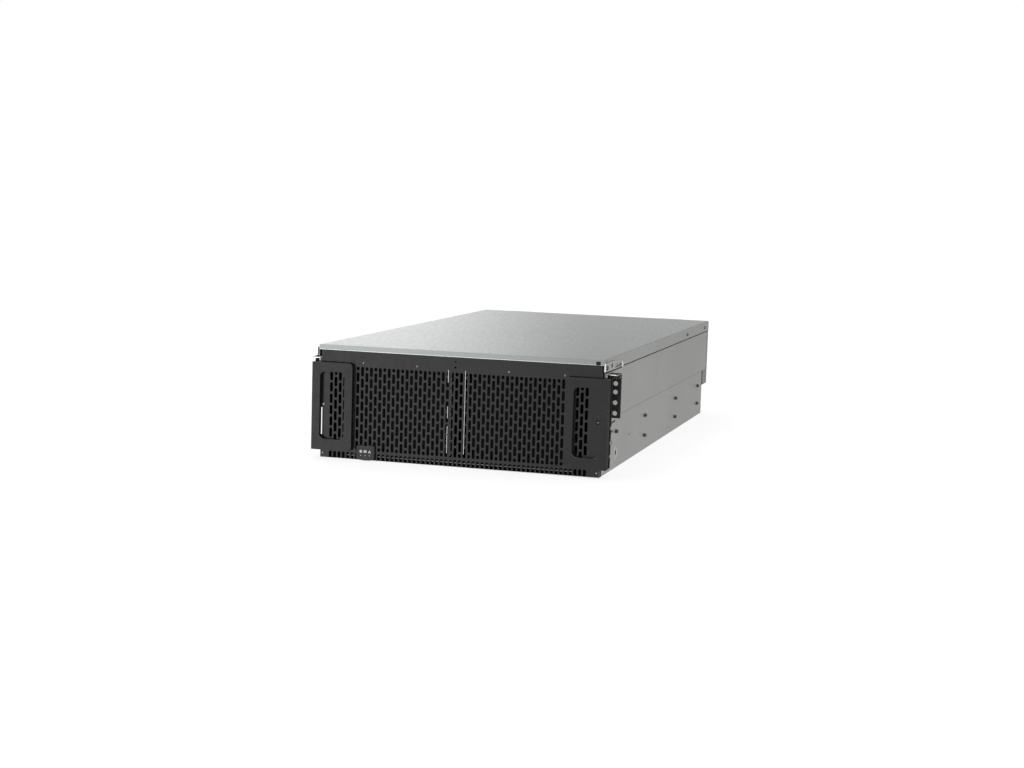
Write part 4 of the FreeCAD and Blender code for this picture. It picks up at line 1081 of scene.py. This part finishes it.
def power_inlet(name, side):
    """Appliance inlet of a power supply: shroud, floor and three blades."""
    body = "power_supply_" + name
    left, right = mirrored(side, *INLET_SPAN)
    middle = (left + right) / 2
    mouth = REAR - INLET_DEPTH
    cavity = [(middle + across, up) for across, up in
              ((-11.6, 9.6), (11.6, 9.6), (11.6, 21.6), (7.6, 25.8), (-7.6, 25.8), (-11.6, 21.6))]
    rim = rounded(left + 0.2, right - 0.2, 8.2, 27.8, 1.0)
    shroud = plate("inlet_shroud_" + name, [rim, cavity], mouth, INLET_DEPTH + 0.2)
    new_piece("inlet_shroud_" + name, shroud, body, "module_black", bevel=0.3)
    floor, blades = Form(), Form()
    floor.box((left + 0.3, right - 0.3), (mouth - 1.8, mouth), (8.3, 27.7))
    new_piece("inlet_floor_" + name, floor, body, "module_black")
    for across, up in ((-7, 15.5), (0, 19.5), (7, 15.5)):
        across += middle
        blades.box((across - 1, across + 1), (mouth, REAR - 3), (up - 2, up + 2))
    new_piece("inlet_blades_" + name, blades, body, "bright_zinc", bevel=0.4)


def power_trim(name, side):
    """Wire air grille, light and screws of a power supply."""
    body = "power_supply_" + name
    across, up = AIR_GRILLE
    centre = Vector((side * across, REAR - 0.8, up))
    grille, light, screws = Form(), Form(), Form()
    for radius in AIR_RINGS:
        grille.hoop(centre, "y", radius, 0.6, 32, 6)
    for place in range(4):
        turn = math.pi * place / 4
        out = Vector((math.cos(turn), 0, math.sin(turn))) * (AIR_RINGS[-1] + 0.2)
        grille.rod(centre - out, centre + out, 0.6, 6)
    new_piece("power_air_grille_" + name, grille, body, "module_steel", "screw_zinc")
    across, up = POWER_LIGHT
    light.turned((side * across, REAR, up), "y", [(1.4, 0), (1.4, 0.5), (0.9, 0.9), (0, 1.0)], 14)
    new_piece("power_light_" + name, light, body, "light_window", "light_green")
    for across, up in POWER_SCREWS:
        screw(screws, (side * across, REAR, up), "y", 2.6, 1.5)
    new_piece("power_screws_" + name, screws, body, "module_steel", "screw_zinc")


def cage(form, left, right, low, high, wall, lip):
    """Four walls of a cable port, from inside the module to lip behind it."""
    depth = (REAR - PORT_DEPTH, REAR + lip)
    form.box((left, right), depth, (low, low + wall))
    form.box((left, right), depth, (high - wall, high))
    form.box((left, left + wall), depth, (low + wall, high - wall))
    form.box((right - wall, right), depth, (low + wall, high - wall))


def port_cages(name, side):
    """Cable ports of an I/O module: cages, contact tongues, lights and screws."""
    body = "io_module_" + name
    cages, tongues, lights, screws = Form(), Form(), Form(), Form()
    inside = REAR - PORT_DEPTH
    for place in range(4):
        left, right = mirrored(side, 14 + PORT_PITCH * place, 31 + PORT_PITCH * place)
        cage(cages, left, right, 30, 39, PORT_WALL, 1.2)
        tongues.box((left + 2, right - 2), (inside, REAR - 2), (33.6, 35.2))
        for shift in (4, 13):
            lights.turned((left + shift, REAR, 43), "y",
                          [(0.9, 0), (0.9, 0.4), (0.5, 0.7), (0, 0.8)], 12)
    left, right = mirrored(side, 14, 29)
    cage(cages, left, right, 12, 24, PORT_WALL + 0.1, 0.8)
    for place in range(8):
        start = left + 3.5 + place
        tongues.box((start, start + 0.45), (REAR - 10, REAR - 3), (21.6, 22.1))
    tongues.box((left + 0.6, right - 0.6), (inside, REAR - 11), (12.6, 23.4))
    for across, up in IO_SCREWS:
        screw(screws, (side * across, REAR, up), "y", 2.4, 1.5)
    new_piece("port_cages_" + name, cages, body, "module_steel", "screw_zinc")
    new_piece("port_tongues_" + name, tongues, body, "module_black")
    new_piece("port_lights_" + name, lights, body, "light_window", "light_green")
    new_piece("io_screws_" + name, screws, body, "module_steel", "screw_zinc")


# ---------------------------------------------------------------- studio

FLOOR_GLOW = 0.8
PLAIN_LIGHT = 0.72
PANELS = (("X", 1.29, (-0.225, -0.355), (-0.45, -0.70)), ("Z", 1.0, (0.55, 0.85), (1.5, 2.0)))
FLOOR_REACH = 30.0


def shown_as_background(tree):
    """1 for camera, glossy and transmission rays, and 0 for the light that shapes the object."""
    path = tree.nodes.new("ShaderNodeLightPath")
    share = path.outputs["Is Camera Ray"]
    for ray in ("Is Glossy Ray", "Is Transmission Ray"):
        either = tree.nodes.new("ShaderNodeMath")
        either.operation = "MAXIMUM"
        tree.links.new(share, either.inputs[0])
        tree.links.new(path.outputs[ray], either.inputs[1])
        share = either.outputs[0]
    return share


def scaled_value(tree, source, factor, shift=0.0):
    """A value times a factor, plus a shift."""
    node = tree.nodes.new("ShaderNodeMath")
    node.operation = "MULTIPLY_ADD"
    node.inputs[1].default_value = factor
    node.inputs[2].default_value = shift
    tree.links.new(source, node.inputs[0])
    return node.outputs[0]


def studio():
    """Pale floor that keeps the object's shadow."""
    square = [(across * FLOOR_REACH, back * FLOOR_REACH, 0)
              for across, back in ((-1, -1), (1, -1), (1, 1), (-1, 1))]
    mesh = bpy.data.meshes.new("floor")
    mesh.from_pydata(square, [], [(0, 1, 2, 3)])
    floor = bpy.data.objects.new("floor", mesh)
    floor.location.z = cad_bounds[0][2] - 0.0002
    bpy.context.scene.collection.objects.link(floor)
    floor.visible_glossy = False
    material = bpy.data.materials.new("floor")
    material.use_nodes = True
    tree = material.node_tree
    paper = tree.nodes["Principled BSDF"]
    paper.inputs["Base Color"].default_value = (0.86, 0.86, 0.86, 1)
    paper.inputs["Roughness"].default_value = 0.9
    glow = tree.nodes.new("ShaderNodeEmission")
    glow.inputs["Strength"].default_value = 1.0
    mix = tree.nodes.new("ShaderNodeMixShader")
    tree.links.new(scaled_value(tree, shown_as_background(tree), FLOOR_GLOW), mix.inputs["Fac"])
    tree.links.new(paper.outputs["BSDF"], mix.inputs[1])
    tree.links.new(glow.outputs["Emission"], mix.inputs[2])
    tree.links.new(mix.outputs["Shader"], tree.nodes["Material Output"].inputs["Surface"])
    mesh.materials.append(material)


def light_tent():
    """World light: white to the camera and in reflections, with bright panels left and above.

    A panel has the axis along which it is placed, its strength, and where it rises and falls.
    """
    world = bpy.data.worlds.new("tent")
    bpy.context.scene.world = world
    world.use_nodes = True
    tree = world.node_tree
    direction = tree.nodes.new("ShaderNodeTexCoord")
    axes = tree.nodes.new("ShaderNodeSeparateXYZ")
    tree.links.new(direction.outputs["Generated"], axes.inputs["Vector"])
    total = scaled_value(tree, shown_as_background(tree), 1 - PLAIN_LIGHT, PLAIN_LIGHT)
    for axis, strength, rise, fall in PANELS:
        edges = []
        for (start, end), (low, high) in ((rise, (0.0, strength)), (fall, (1.0, 0.0))):
            edge = tree.nodes.new("ShaderNodeMapRange")
            edge.interpolation_type = "SMOOTHSTEP"
            limits = (("From Min", start), ("From Max", end), ("To Min", low), ("To Max", high))
            for name, value in limits:
                edge.inputs[name].default_value = value
            tree.links.new(axes.outputs[axis], edge.inputs["Value"])
            edges.append(edge.outputs["Result"])
        both = tree.nodes.new("ShaderNodeMath")
        both.operation = "MULTIPLY_ADD"
        for place, source in enumerate(edges + [total]):
            tree.links.new(source, both.inputs[place])
        total = both.outputs[0]
    # The camera itself sees plain white.
    level = tree.nodes.new("ShaderNodeMix")
    level.data_type = "FLOAT"
    level.inputs[3].default_value = 1.0
    path = tree.nodes.new("ShaderNodeLightPath")
    tree.links.new(path.outputs["Is Camera Ray"], level.inputs[0])
    tree.links.new(total, level.inputs[2])
    tree.links.new(level.outputs[0], tree.nodes["Background"].inputs["Strength"])
    tree.nodes["Background"].inputs["Color"].default_value = (1, 1, 1, 1)


def camera():
    """Camera front right of the shelf, a little above the lid, fitted to the photograph."""
    data = bpy.data.cameras.new("camera")
    data.lens = 63.03
    data.sensor_width = 36.0
    data.clip_end = 100.0
    item = bpy.data.objects.new("camera", data)
    item.location = (0.81371, FACE * MM - 2.53618, 0.43303)
    item.rotation_euler = (1.4571, -0.0299, 0.2839)
    bpy.context.scene.collection.objects.link(item)
    bpy.context.scene.camera = item


dress_cad_nodes()
soften_cad_nodes()
front_grille()
front_screws()
status_lights()
handle_seat_shadows()
handle_rims()
ear_blocks()
channel_edge_highlights()
rail_screws()
clinch_nuts()
side_marks()
lid_front()
lid_sides()
lid_screws()
drive_carriers()
for bay in BAYS:
    fan_rotor(bay)
    fan_details(bay)
for side_name, side_sign in SIDES:
    power_inlet(side_name, side_sign)
    power_trim(side_name, side_sign)
    port_cages(side_name, side_sign)
studio()
light_tent()
camera()
bpy.context.scene.view_settings.view_transform = "Standard"
